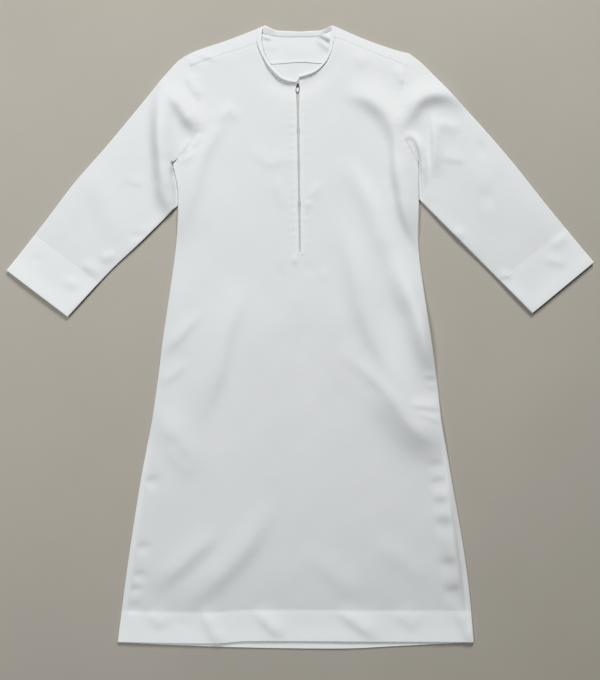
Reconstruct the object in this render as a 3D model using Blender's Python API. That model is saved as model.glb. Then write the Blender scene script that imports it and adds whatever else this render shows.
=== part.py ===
"""A plain ankle-length robe (thobe) laid flat on its back with its sleeves spread.

Every piece is a wall of cloth as it is cut: front, back, yoke, two sleeves and a neck binding,
with a short zip at the centre front. Left and right are the viewer's, looking down on the front
with the neck at the top. Tables give x from the body's centre line, positive to the right, and
down from the top of the shoulders, both in millimetres. The model itself is in metres, with +Y
towards the neck, +Z up, and its origin under the middle of the whole spread.
"""

from collections import namedtuple
from math import radians

import bpy
import numpy as np

MM = 0.001

# The spread: where the body's centre line and the top of the shoulders lie.
BODY_X = -7.5
TOP_Y = 694.5
WORLD_ORIGIN = (-BODY_X, TOP_Y, 0)
SHARP_EDGE = 40

# Cloth, in millimetres.
CLOTH = 1.2
HEM_CLOTH = 1.8
SEAM_GAP = 0.3
LAYER_GAP = 0.4
UPPER_BASE = 2 * CLOTH + LAYER_GAP
PUFF = 3.4
PUFF_REACH = 50
HEM_PUFF_SHARE = 0.35
HEM_PUFF_REACH = 160
EDGE_ROUND = 2.0

# Hems: depth of the turned-up cloth, and the short step where it ends.
BODY_HEM = 69
SLEEVE_HEM = 100
HEM_STEP = 4

# The side seam lies over the sleeve just below the underarm.
TUCK = 9
TUCK_LIFT = 3.4
TUCK_FLAT = 16
TUCK_FADE = 80
SLEEVE_FLAT, SLEEVE_FADE = 10, 32

UNDERARM_DOWN = 308
SLEEVE_MEETS_SIDE = {"left": 402, "right": 388}
ZIP_TOP_X, ZIP_END_X = 1.3, 6.7
ZIP_END_DOWN = 505
SLIT_HALF_TOP, SLIT_HALF_END, SLIT_TOP_DOWN, SLIT_TAPER = 3.3, 1.2, 145, 45

SideRow = namedtuple("SideRow", "down left right")
EdgeRow = namedtuple("EdgeRow", "left_out left_down right_out right_down")
Fold = namedtuple("Fold", "piece path height lit shaded")
BindingRow = namedtuple("BindingRow", "station x down z crown turn")

# Half widths of the body, from the underarm to the hem.
SIDE = [
    SideRow(308, 277, 270),
    SideRow(330, 272, 271),
    SideRow(360, 266, 271),
    SideRow(402, 265, 272),
    SideRow(501, 271, 272),
    SideRow(621, 288, 288),
    SideRow(710, 301, 301),
    SideRow(779, 309, 311),
    SideRow(883, 324, 323),
    SideRow(946, 336, 334),
    SideRow(1022, 350, 347),
    SideRow(1149, 370, 369),
    SideRow(1257, 385, 384),
    SideRow(1375, 400, 395),
]

# The lower edge of the front and of the back, from the left side to the right.
HEM_FRONT = [(-400, 1375), (-198, 1378), (-111, 1373), (7, 1373), (163, 1374), (395, 1375)]
HEM_BACK = [(-400, 1375), (-294, 1381), (-112, 1387), (7, 1389), (121, 1389), (219, 1384), (395, 1375)]

# The armhole, from the underarm to where it turns up, and on to the end of the yoke seam.
ARMHOLE_UNDER = [EdgeRow(277, 308, 270, 308), EdgeRow(251, 283, 255, 283), EdgeRow(218, 240, 228, 240)]
ARMHOLE_FRONT = [
    EdgeRow(218, 240, 228, 240),
    EdgeRow(219, 207, 229, 207),
    EdgeRow(225, 176, 232, 176),
    EdgeRow(230, 140, 237, 140),
    EdgeRow(238, 92, 244, 91),
]

# The neck seam of the front, from the zip to the yoke.
NECK_FRONT = [
    EdgeRow(21, 129, 27, 114),
    EdgeRow(38, 122, 44, 105),
    EdgeRow(55, 107, 57, 93),
    EdgeRow(70, 86, 70, 76),
    EdgeRow(87, 52, 81, 45),
    EdgeRow(89, 40, 83, 29),
]
NECK_AT_ZIP_DOWN = {"left": 131, "right": 120}

# The yoke seam on the front, and the folded shoulder edge, from the neck to the armhole.
YOKE_SEAM = [
    EdgeRow(89, 40, 83, 29),
    EdgeRow(118, 50, 100, 32),
    EdgeRow(140, 57, 133, 46),
    EdgeRow(173, 68, 162, 58),
    EdgeRow(238, 92, 244, 91),
]
SHOULDER = [
    EdgeRow(90, 8, 87, 3),
    EdgeRow(155, 33, 152, 31),
    EdgeRow(223, 56, 214, 53),
    EdgeRow(252, 70, 252, 63),
]
BACK_SEAM_RISE = 8
NECK_BACK = [(-77, 18), (-60, 23), (-26, 26), (7, 26), (41, 25), (63, 19), (77, 11)]

# The sleeves' two long edges, from the body to the mouth.
SLEEVE_OUTER = [
    EdgeRow(252, 70, 252, 63),
    EdgeRow(283, 98, 293, 98),
    EdgeRow(414, 256, 395, 206),
    EdgeRow(496, 350, 477, 300),
    EdgeRow(559, 433, 560, 404),
    EdgeRow(647, 546, 662, 528),
]
SLEEVE_LOWER = [
    EdgeRow(265, 402, 272, 388),
    EdgeRow(349, 485, 346, 463),
    EdgeRow(416, 548, 430, 547),
    EdgeRow(510, 650, 524, 642),
]

# Soft folds: a ridge, or a trough where the height is negative, along a path. lit is its half
# width on the left hand of the path, shaded on the right hand. A fold fades out at both ends.
FOLDS = [
    Fold("all", [(90, 148), (150, 162), (179, 180), (203, 207), (219, 247), (228, 300)], 10.5, 30, 20),
    Fold("all", [(200, 200), (216, 250), (222, 330), (229, 367), (234, 401),
                 (243, 434), (259, 470), (290, 520)], 12.5, 36, 16),
    Fold("all", [(92, 280), (141, 354), (163, 401), (192, 479), (212, 523), (240, 590)], 7, 20, 26),
    Fold("all", [(92, 400), (112, 479), (125, 523), (145, 612), (156, 652),
                 (185, 719), (226, 780), (296, 842)], 10.5, 46, 25),
    Fold("all", [(206, 490), (230, 560), (249, 605), (264, 642),
                 (275, 688), (286, 735), (305, 812)], 16, 27, 29),
    Fold("all", [(84, 706), (118, 741), (152, 768), (185, 797),
                 (219, 838), (257, 893), (330, 948)], 4.4, 58, 18),
    Fold("all", [(130, 745), (185, 795), (221, 850), (264, 898), (350, 948), (380, 962)], 14.5, 54, 43),
    Fold("all", [(-335, 1268), (-250, 1196), (-160, 1112)], 4.8, 28, 18),
    Fold("all", [(-275, 1322), (-192, 1245), (-122, 1172), (-77, 1096), (-49, 1026)], 6.2, 36, 23),
    Fold("all", [(-240, 912), (-202, 842), (-189, 810), (-174, 765),
                 (-163, 710), (-151, 665), (-110, 556)], 6.5, 48, 19),
    Fold("all", [(-318, 836), (-290, 885), (-270, 922), (-252, 965), (-224, 1024)], 5, 38, 26),
    Fold("all", [(-264, 500), (-254, 445), (-234, 375), (-225, 342),
                 (-212, 297), (-196, 264), (-142, 168)], 6, 32, 17),
    Fold("all", [(7, 1158), (78, 1218), (123, 1258), (176, 1290)], 2.4, 34, 24),
    Fold("all", [(154, 1138), (232, 1192), (315, 1249)], 1.8, 30, 24),
    Fold("all", [(-98, 60), (-74, 104), (-38, 135), (8, 136), (50, 116), (82, 82), (96, 45)], -2, 16, 18),
    Fold("all", [(-292, 130), (-264, 173), (-241, 208), (-219, 230), (-204, 244)], 13, 26, 18),
    Fold("sleeve_left", [(-292, 84), (-301, 160), (-304, 245), (-300, 300),
                         (-296, 345), (-291, 384), (-256, 470)], 16.5, 28, 18),
    Fold("all", [(214, 240), (248, 202), (268, 171), (301, 156), (341, 160), (386, 190)], 12.5, 26, 19),
    Fold("sleeve_right", [(300, 350), (304, 300), (304, 250), (301, 185)], 6.5, 12, 18),
    Fold("all", [(168, 367), (234, 590), (310, 880)], 3, 70, 60),
    Fold("all", [(63, 560), (85, 712), (152, 830)], 2.5, 60, 40),
    Fold("all", [(-240, 520), (-262, 640), (-270, 780)], 3, 30, 26),
    Fold("all", [(-60, 560), (-80, 700), (-60, 840)], 2, 60, 46),
]
FOLD_END_SHARE = 0.4

# Neck binding: the outer face's free edge at some of the stations round the neck, and how high
# its middle stands over the straight line from seam to free edge. turn is 0 where the outer face
# looks up, 90 on the fold over the shoulder and 180 where it looks down, at the back.
BINDING = [
    BindingRow(0, -2.0, 119, 8.2, 2.6, 0),
    BindingRow(2, -28, 106, 8.8, 2.8, 0),
    BindingRow(4, -55, 78, 8.6, 2.6, 0),
    BindingRow(5, -71, 51, 7.6, 2.2, 0),
    BindingRow(7, -76, 36, 6.6, 1.6, 0),
    BindingRow(8, -77, 22, 5.4, 0.8, 0),
    BindingRow(9, -72, 2.4, 3.4, 0, 30),
    BindingRow(10, -71, 0, 1.6, 0, 90),
    BindingRow(11, -70, 2.4, 0, 0, 180),
    BindingRow(12, -57, 6, 0, 0, 180),
    BindingRow(13, -43, 10, 0, 0, 180),
    BindingRow(15, 7, 13, 0, 0, 180),
    BindingRow(17, 50, 10, 0, 0, 180),
    BindingRow(18, 64, 6, 0, 0, 180),
    BindingRow(19, 77, 2.4, 0, 0, 180),
    BindingRow(20, 79, 0, 1.6, 0, 90),
    BindingRow(21, 78, 2.4, 3.4, 0, 30),
    BindingRow(22, 72, 18, 6.0, 1.0, 0),
    BindingRow(23, 70, 30, 7.4, 2.0, 0),
    BindingRow(25, 60, 58, 8.6, 2.6, 0),
    BindingRow(27, 44, 81, 8.8, 2.8, 0),
    BindingRow(28, 31, 92, 8.8, 2.8, 0),
    BindingRow(30, 4.6, 107, 8.2, 2.6, 0),
]

# The binding's cross-section: share of its width from the seam, and share of its crown.
BINDING_PROFILE = [(0, 0), (0.3, 0.9), (0.65, 1), (1, 0)]

# Zip, in millimetres. The slider's table runs from its hem end to its neck end. The pull's runs
# from its pin, which lies in the bail, to its tip, with the eye between two of its rows.
TAPE_CLOTH = 1.0
TAPE_WIDTH = 10.2
TAPE_DROP = 0.3
SLIDER_DOWN, SLIDER_HEIGHT, SLIDER_CROWN = 134, 2.6, 0.1
SLIDER_ROWS = [(-4.2, 1.7), (-2.5, 2.3), (-1.6, 2.4), (1.6, 2.5), (2.5, 2.5), (4.2, 1.9)]
BAIL_HALF_WIDTH, BAIL_HOLE_TOP, BAIL_TOP = 0.75, 2.2, 3.1
PULL_ROWS = [
    (-0.5, 2.2),
    (0.5, 2.4),
    (4.4, 3.3),
    (6.2, 3.9),
    (8.5, 4.3),
    (11.5, 4.0),
    (15, 2.7),
    (17.8, 1.1),
    (18.95, 0.4),
]
PULL_THICK = 1.0
PULL_EYE_HALF_WIDTH, PULL_EYE_SHARE = 1.15, 0.6
PULL_REST_TILT = 5

# Grids: how many cells each stretch of an edge has.
HEM_ROWS, SKIRT_ROWS, WAIST_ROWS = 2, 34, 11
UNDER_ROWS, ARMHOLE_ROWS, NECK_ROWS = 4, 8, 7
CHEST_SHARES = [0, 0.3, 0.55, 0.75, 0.9, 1]
WAIST_DOWN_SIDE = 520
FRONT_SHARES = [0, 0.052, *np.linspace(0.11, 0.95, 15), 1]
BACK_SHARES = [0, 0.28, 0.54, 0.76, 0.89, 0.96, 1]
BACK_SKIRT_ROWS = 8
NECK_BACK_COLUMNS = 8
YOKE_BACK_SHARES = (0, 0.33, 0.66, 1)
FINE_CELLS = 200
TUCK_ROWS, SLEEVE_ROWS, SLEEVE_HEM_LINES = 3, 9, 3
SLEEVE_HEAD, SLEEVE_TUCKED = 185, 266
HEAD_EASE = 0.5

CLOTH_WHITE = (0.80, 0.81, 0.82, 1)
TAPE_WHITE = (0.74, 0.74, 0.73, 1)
ZIP_STEEL = (0.42, 0.43, 0.45, 1)


def side_points(rows, side):
    """The (x, down) points of one side of a table, x negative on the left."""
    if side == "left":
        return np.array([(-row.left_out, row.left_down) for row in rows], float)
    return np.array([(row.right_out, row.right_down) for row in rows], float)


def sign(side):
    return -1 if side == "left" else 1


def smooth(points, per_span=12):
    """A fine polyline on the Catmull-Rom curve through the points."""
    points = np.asarray(points, float)
    ends = np.vstack([2 * points[0] - points[1], points, 2 * points[-1] - points[-2]])
    t = np.linspace(0, 1, per_span, endpoint=False)[:, None]
    spans = []
    for a, b, c, d in zip(ends, ends[1:], ends[2:], ends[3:]):
        bend, twist = 2 * a - 5 * b + 4 * c - d, 3 * b - a - 3 * c + d
        spans.append(b + (c - a) * t / 2 + bend * t**2 / 2 + twist * t**3 / 2)
    return np.vstack(spans + [points[-1:]])


def at_shares(points, shares):
    """Points at the given shares of a polyline's length."""
    steps = np.linalg.norm(np.diff(points, axis=0), axis=1)
    length = np.concatenate([[0], np.cumsum(steps)])
    where = np.asarray(shares, float) * length[-1]
    return np.column_stack([np.interp(where, length, points[:, k]) for k in range(points.shape[1])])


def even(points, cells):
    """A polyline cut into equal cells."""
    return at_shares(points, np.linspace(0, 1, cells + 1))


def chain(*stretches):
    """Stretches joined end to end, each starting on the last one's end."""
    return np.vstack([stretches[0]] + [stretch[1:] for stretch in stretches[1:]])


def step_in(value, low, high):
    """0 below low, 1 above high, and a smooth ease between."""
    t = np.clip((value - low) / (high - low), 0, 1)
    return t * t * (3 - 2 * t)


def to_polyline(points, line):
    """For each point: distance to the polyline, side of it (+1 on its left hand), and share along it."""
    best = np.full(len(points), np.inf)
    side = np.ones(len(points))
    share = np.zeros(len(points))
    steps = np.linalg.norm(np.diff(line, axis=0), axis=1)
    starts = np.concatenate([[0], np.cumsum(steps)])
    for k, (a, b) in enumerate(zip(line, line[1:])):
        along = b - a
        t = np.clip((points - a) @ along / (along @ along), 0, 1)
        gap = points - (a + t[:, None] * along)
        distance = np.linalg.norm(gap, axis=1)
        nearer = distance < best
        # down grows towards the hem, so the left hand has a positive cross product there.
        cross = along[1] * gap[:, 0] - along[0] * gap[:, 1]
        best[nearer] = distance[nearer]
        side[nearer] = np.where(cross[nearer] >= 0, 1, -1)
        share[nearer] = ((starts[k] + t * steps[k]) / starts[-1])[nearer]
    return best, side, share


def side_edge(side):
    """The body's side seam from the underarm to the hem."""
    return smooth([(sign(side) * getattr(row, side), row.down) for row in SIDE])


def side_x(side, down):
    """How far out the side seam lies at a distance down."""
    return sign(side) * np.interp(down, [row.down for row in SIDE], [getattr(row, side) for row in SIDE])


def cut_down(line, down):
    """The part of a line, which runs down, that lies above a level, and the part below it."""
    x = np.interp(down, line[:, 1], line[:, 0])
    above, below = line[line[:, 1] < down], line[line[:, 1] > down]
    return np.vstack([above, [(x, down)]]), np.vstack([[(x, down)], below])


EDGE_LINES = (
    [side_edge(side) for side in ("left", "right")]
    + [smooth(side_points(SHOULDER, side)) for side in ("left", "right")]
    + [smooth(side_points(SLEEVE_OUTER, side)) for side in ("left", "right")]
    + [smooth(side_points(SLEEVE_LOWER, side)) for side in ("left", "right")]
)
TUCK_LINES = {
    side: cut_down(side_edge(side), SLEEVE_MEETS_SIDE[side])[0] for side in ("left", "right")
}
MOUTH_LINES = [
    np.array([side_points(SLEEVE_OUTER, side)[-1], side_points(SLEEVE_LOWER, side)[-1]])
    for side in ("left", "right")
]


def distance_to(points, lines):
    return np.min([to_polyline(points, line)[0] for line in lines], axis=0)


def puff(points):
    """How far the upper cloth stands off the lower: nothing at the edges, rounding to PUFF."""
    gap = distance_to(points, EDGE_LINES)
    rise = 1 - (1 - np.clip(gap / PUFF_REACH, 0, 1)) ** 2
    openings = [np.array(HEM_FRONT, float)] + MOUTH_LINES
    near_opening = step_in(distance_to(points, openings), 0, HEM_PUFF_REACH)
    return PUFF * rise * (HEM_PUFF_SHARE + (1 - HEM_PUFF_SHARE) * near_opening)


def beside_body(points, piece):
    """How far a point of a sleeve lies from the side seam over it, and 0 under the body."""
    side = piece.split("_")[1]
    under = (points[:, 0] - side_x(side, points[:, 1])) * sign(side) < 0
    under &= points[:, 1] > UNDERARM_DOWN
    return np.where(under, 0, distance_to(points, [TUCK_LINES[side]]))


def folds(points, piece):
    """Sum of the folds: a bell across each path, which eases in and out over its ends."""
    total = np.zeros(len(points))
    for fold in FOLDS:
        if fold.piece not in ("all", piece):
            continue
        distance, side, share = to_polyline(points, smooth(fold.path, 6))
        width = np.where(side > 0, fold.lit, fold.shaded)
        along = step_in(np.minimum(share, 1 - share), 0, FOLD_END_SHARE)
        total += fold.height * np.exp(-((distance / width) ** 2)) * along
    return total


def tuck_lift(points):
    """How far the body is lifted by the sleeve that runs under its side seam."""
    gap = distance_to(points, TUCK_LINES.values())
    return TUCK_LIFT * (1 - step_in(gap, TUCK_FLAT, TUCK_FLAT + TUCK_FADE))


def upper(points, piece):
    """Height of the outer face of the upper cloth."""
    rise = np.maximum(puff(points) + folds(points, piece), 0)
    if not piece.startswith("sleeve"):
        return UPPER_BASE + rise + tuck_lift(points)
    return UPPER_BASE + rise * step_in(beside_body(points, piece), SLEEVE_FLAT, SLEEVE_FADE)


def patch(inner, outer, bottom, top, ease=1):
    """Coons patch: the blend of the two pairs of edges, less the blend of the four corners.

    With ease under 1 the bottom's own shape fades out sooner.
    """
    u = shares_of(bottom)
    v = shares_of((inner + outer) / 2)[:, None, None] ** ease
    u = u[None, :, None]
    across = (1 - u) * inner[:, None] + u * outer[:, None]
    along = (1 - v) * bottom[None] + v * top[None]
    corners = (1 - v) * ((1 - u) * bottom[0] + u * bottom[-1]) + v * ((1 - u) * top[0] + u * top[-1])
    return across + along - corners


def shares_of(points):
    steps = np.linalg.norm(np.diff(points, axis=0), axis=1)
    return np.concatenate([[0], np.cumsum(steps)]) / steps.sum()


def grid_triangles(index):
    """Two triangles for each cell of an array of point numbers, rows by columns."""
    a, b = index[:-1, :-1].ravel(), index[:-1, 1:].ravel()
    c, d = index[1:, 1:].ravel(), index[1:, :-1].ravel()
    return np.vstack([np.column_stack([a, b, c]), np.column_stack([a, c, d])])


def inward(points, centre_side):
    """Unit vectors across a path, towards the side that centre_side gives, +1 for its left hand."""
    along = np.gradient(points[:, :2], axis=0)
    along /= np.linalg.norm(along, axis=1)[:, None]
    return centre_side * np.column_stack([along[:, 1], -along[:, 0]])


def add_material(name, colour, roughness, metallic=0.0):
    material = bpy.data.materials.new(name)
    material.use_nodes = True
    shader = material.node_tree.nodes["Principled BSDF"]
    shader.inputs["Base Color"].default_value = colour
    shader.inputs["Roughness"].default_value = roughness
    shader.inputs["Metallic"].default_value = metallic
    material.diffuse_color = colour
    return material


def to_metres(points):
    """Table places (x, down, z) in millimetres to the model's own metres."""
    points = np.asarray(points, float)
    return np.column_stack([points[:, 0] + BODY_X, TOP_Y - points[:, 1], points[:, 2]]) * MM


def add_solid(name, points, triangles, material, origin=WORLD_ORIGIN):
    """One closed body, from points and an origin in the tables' places. Its volume turns it outwards."""
    location = to_metres([origin])[0]
    places = to_metres(points) - location
    if np.linalg.det(places[triangles]).sum() < 0:
        triangles = triangles[:, ::-1]
    mesh = bpy.data.meshes.new(name)
    mesh.from_pydata(places.tolist(), [], triangles.tolist())
    mesh.shade_smooth()
    mesh.set_sharp_from_angle(angle=radians(SHARP_EDGE))
    mesh.materials.append(material)
    solid = bpy.data.objects.new(name, mesh)
    solid.location = location
    bpy.context.scene.collection.objects.link(solid)
    return solid


def wall(name, outer, inner, triangles, material, origin=WORLD_ORIGIN):
    """A wall between two faces that share their triangles, closed round every free edge."""
    used = np.unique(triangles)
    renumber = np.zeros(len(outer), int)
    renumber[used] = np.arange(len(used))
    outer, inner, triangles = outer[used], inner[used], renumber[triangles]
    count = len(outer)
    edges = {}
    for a, b, c in triangles.tolist():
        for start, end in ((a, b), (b, c), (c, a)):
            if (end, start) in edges:
                del edges[(end, start)]
            else:
                edges[(start, end)] = True
    rim = []
    for start, end in edges:
        rim += [(end, start, start + count), (end, start + count, end + count)]
    faces = np.vstack([triangles, triangles[:, ::-1] + count, np.array(rim)])
    return add_solid(name, np.vstack([outer, inner]), faces, material, origin)


def centre_x(down):
    """The centre front line: the zip leans a little, and the line comes back to the middle below it."""
    downs = [NECK_AT_ZIP_DOWN["right"], ZIP_END_DOWN, SIDE[-1].down]
    return np.interp(down, downs, [ZIP_TOP_X, ZIP_END_X, 0])


def slit_half(down):
    """Half the width of the slit, which narrows below the slider."""
    return np.interp(down, [SLIT_TOP_DOWN, SLIT_TOP_DOWN + SLIT_TAPER], [SLIT_HALF_TOP, SLIT_HALF_END])


def hem_stations(line):
    """A line that runs up from the hem: the hem's rows, the step where it ends, and the rest."""
    length = np.linalg.norm(np.diff(line, axis=0), axis=1).sum()
    hem = at_shares(line, np.linspace(0, BODY_HEM / length, HEM_ROWS + 1))
    step = at_shares(line, [BODY_HEM / length, (BODY_HEM + HEM_STEP) / length])
    rest = at_shares(line, np.linspace((BODY_HEM + HEM_STEP) / length, 1, FINE_CELLS))
    return hem, step, rest


def armhole(side):
    """The armhole from the underarm up to the yoke seam."""
    under = even(smooth(side_points(ARMHOLE_UNDER, side)), UNDER_ROWS)
    front = even(smooth(side_points(ARMHOLE_FRONT, side)), ARMHOLE_ROWS)
    return chain(under, front)


def outer_edge(side, skirt_rows):
    """The panel's outer edge, up from the hem along the side seam and the armhole."""
    above, below = cut_down(side_edge(side), WAIST_DOWN_SIDE)
    hem, step, rest = hem_stations(below[::-1])
    return chain(hem, step, even(rest, skirt_rows), even(above[::-1], WAIST_ROWS), armhole(side))


def front_neck(side):
    """The front's neck seam from the zip up to the yoke seam."""
    down = NECK_AT_ZIP_DOWN[side]
    start = [(centre_x(down) + sign(side) * slit_half(down), down)]
    return even(smooth(np.vstack([start, side_points(NECK_FRONT, side)])), NECK_ROWS)


def front_inner_edge(side):
    """The front's inner edge: up the centre line, the slit and the neck seam."""
    skirt = [(centre_x(down), down) for down in (HEM_FRONT[3][1], ZIP_END_DOWN)]
    hem, step, rest = hem_stations(np.array(skirt))
    neck = front_neck(side)
    chest = UNDERARM_DOWN + (neck[0, 1] - UNDERARM_DOWN) * np.array(CHEST_SHARES[1:])
    downs = np.append(np.linspace(ZIP_END_DOWN, UNDERARM_DOWN, WAIST_ROWS + 1), chest)
    slit = np.column_stack([centre_x(downs) + sign(side) * slit_half(downs), downs])
    slit[0, 0] = centre_x(ZIP_END_DOWN)
    return chain(hem, step, even(rest, SKIRT_ROWS), slit, neck)


def hem_line(table, side, shares, centre):
    """The hem from the centre out to one side."""
    line = smooth(table)
    half = line[line[:, 0] * sign(side) > centre[0] * sign(side)]
    half = half[np.argsort(half[:, 0] * sign(side))]
    return at_shares(np.vstack([centre, half]), shares)


def inset(grid, side):
    """The grid with its armhole edge moved in by half the seam's gap."""
    edge = grid[:, -1]
    first = len(edge) - (UNDER_ROWS + ARMHOLE_ROWS) - 1
    moved = edge[first:] + inward(edge[first:], sign(side)) * SEAM_GAP / 2
    grid[first:, -1] = moved
    return grid


def front_grid(side):
    """(x, down) points of one half of the front, rows from hem to yoke, columns from centre to side."""
    inner = front_inner_edge(side)
    outer = outer_edge(side, SKIRT_ROWS)
    bottom = hem_line(HEM_FRONT, side, FRONT_SHARES, inner[0])
    bottom[-1] = outer[0]
    top = at_shares(smooth(side_points(YOKE_SEAM, side)), FRONT_SHARES)
    top[0], top[-1] = inner[-1], outer[-1]
    return inset(patch(inner, outer, bottom, top), side)


def hem_extra(rows, cells):
    """1 on the rows of the hem and 0 above it, for each point of a grid."""
    extra = np.zeros((rows, cells))
    extra[: HEM_ROWS + 1] = 1
    return extra


def make_front(material):
    halves = {side: front_grid(side) for side in ("left", "right")}
    rows, columns = halves["left"].shape[:2]
    shared = HEM_ROWS + 2 + SKIRT_ROWS
    number = {"left": np.arange(rows * columns).reshape(rows, columns)}
    number["right"] = number["left"] + rows * columns
    number["right"][:shared, 0] = number["left"][:shared, 0]
    flat = np.vstack([halves["left"].reshape(-1, 2), halves["right"].reshape(-1, 2)])
    hem = np.tile(hem_extra(rows, columns).ravel(), 2)
    extra = hem * (HEM_CLOTH - CLOTH)
    height = upper(flat, "front") + 2 * extra
    outer = np.column_stack([flat, height])
    inner = outer - np.column_stack([0 * extra, 0 * extra, CLOTH + extra])
    triangles = np.vstack([grid_triangles(number["left"][:, ::-1]), grid_triangles(number["right"])])
    wall("front", outer, inner, triangles, material)
    place = {side: outer[number[side]] for side in ("left", "right")}
    return place


def back_seam(x):
    """The straight seam between back and yoke, a little higher in the middle."""
    left = side_points(YOKE_SEAM, "left")[-1]
    right = side_points(YOKE_SEAM, "right")[-1]
    share = (x - left[0]) / (right[0] - left[0])
    return left[1] + (right[1] - left[1]) * share - BACK_SEAM_RISE * 4 * share * (1 - share)


def back_grid(side):
    outer = outer_edge(side, BACK_SKIRT_ROWS)
    centre, low = HEM_BACK[3]
    waist = (centre, WAIST_DOWN_SIDE)
    hem, step, rest = hem_stations(np.array([(centre, low), waist]))
    body = even(np.array([waist, (centre, back_seam(centre))]), WAIST_ROWS + UNDER_ROWS + ARMHOLE_ROWS)
    inner = chain(hem, step, even(rest, BACK_SKIRT_ROWS), body)
    bottom = hem_line(HEM_BACK, side, BACK_SHARES, inner[0])
    bottom[-1] = outer[0]
    top_x = centre + (outer[-1, 0] - centre) * np.array(BACK_SHARES)
    top = np.column_stack([top_x, back_seam(top_x)])
    top[-1] = outer[-1]
    return inset(patch(inner, outer, bottom, top), side)


def make_back(material):
    left, right = back_grid("left"), back_grid("right")
    grid = np.concatenate([left[:, ::-1], right[:, 1:]], axis=1)
    rows, columns = grid.shape[:2]
    flat = grid.reshape(-1, 2)
    extra = hem_extra(rows, columns).ravel() * (HEM_CLOTH - CLOTH)
    lift = tuck_lift(flat)
    inner = np.column_stack([flat, lift])
    outer = np.column_stack([flat, lift + CLOTH + extra])
    triangles = grid_triangles(np.arange(rows * columns).reshape(rows, columns))
    return wall("back", outer, inner, triangles, material)


def toward(points, target, distance):
    """Points moved a distance towards others."""
    step = target - points
    return points + step / np.linalg.norm(step, axis=1)[:, None] * distance


def make_yoke(front, material):
    """The yoke's underlay, fold and front strips. Returns the neck edge from left seam to right seam."""
    count = len(FRONT_SHARES)
    neck_line = smooth(
        np.vstack([side_points(SHOULDER, "left")[:1], NECK_BACK, side_points(SHOULDER, "right")[:1]])
    )
    neck = even(neck_line, NECK_BACK_COLUMNS)[1:-1]
    columns = []
    for side, order in (("left", slice(None, None, -1)), ("neck", None), ("right", slice(None))):
        if side == "neck":
            for x, down in neck:
                low = np.array([x, back_seam(x) - SEAM_GAP])
                top = np.array([x, down])
                flat = np.array([low + (top - low) * share for share in YOKE_BACK_SHARES])
                columns.append(tuple(np.column_stack([flat, np.full(4, level)]) for level in (CLOTH, 0)))
            continue
        fold = at_shares(smooth(side_points(SHOULDER, side)), FRONT_SHARES)
        seam = front[side][-1]
        seam_flat = seam[:, :2].copy()
        seam_flat[:, 1] -= SEAM_GAP
        rounded = toward(fold, seam_flat, EDGE_ROUND)
        middle = (rounded + seam_flat) / 2
        low_x = fold[0, 0] + (seam_flat[-1, 0] - fold[0, 0]) * np.array(FRONT_SHARES)
        low = np.column_stack([low_x, back_seam(low_x) - SEAM_GAP])
        low[-1] = seam_flat[-1]
        made = []
        for k in range(count):
            bottom = np.array([low[k] + (rounded[k] - low[k]) * share for share in YOKE_BACK_SHARES])
            strip = np.array([rounded[k], middle[k], seam_flat[k]])
            heights = upper(strip, "yoke")
            heights[-1] = seam[k, 2]
            inner_fold = toward(fold[k : k + 1], seam_flat[k : k + 1], CLOTH)
            edge_height = heights[0] / 2
            face_low = np.column_stack([bottom, np.zeros(4)])
            face_fold = np.append(fold[k], edge_height)[None]
            face_top = np.column_stack([strip, heights])
            lining_low = np.column_stack([bottom, np.full(4, CLOTH)])
            lining_fold = np.append(inner_fold[0], edge_height)[None]
            lining_top = np.column_stack([strip, heights - CLOTH])
            made.append(
                (
                    np.vstack([lining_low, lining_fold, lining_top]),
                    np.vstack([face_low, face_fold, face_top]),
                )
            )
        columns += made[order]
    # Number the points column by column. The neck's columns stop at the neck edge.
    starts = np.concatenate([[0], np.cumsum([len(column[0]) for column in columns])])
    lining = np.vstack([column[0] for column in columns])
    face = np.vstack([column[1] for column in columns])
    triangles = []
    for k in range(len(columns) - 1):
        cells = min(len(columns[k][0]), len(columns[k + 1][0]))
        index = np.array([starts[k] + np.arange(cells), starts[k + 1] + np.arange(cells)])
        triangles.append(grid_triangles(index))
    wall("yoke", face, lining, np.vstack(triangles), material)
    left_column, right_column = columns[count - 1][1], columns[count + len(neck)][1]
    middle_points = [column[1][-1] for column in columns[count : count + len(neck)]]
    return np.vstack([left_column[:2:-1], middle_points, right_column[3:]])


def sleeve_ends(points, start):
    """The rest of a sleeve's long edge, from a distance along it to the hem's step, and the hem."""
    length = np.linalg.norm(np.diff(points, axis=0), axis=1).sum()
    top = 1 - (SLEEVE_HEM + HEM_STEP) / length
    shares = np.linspace(start / length, top, SLEEVE_ROWS + 1)
    return at_shares(points, np.append(shares, [1 - SLEEVE_HEM / length, 1 - SLEEVE_HEM / 2 / length, 1]))


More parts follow.
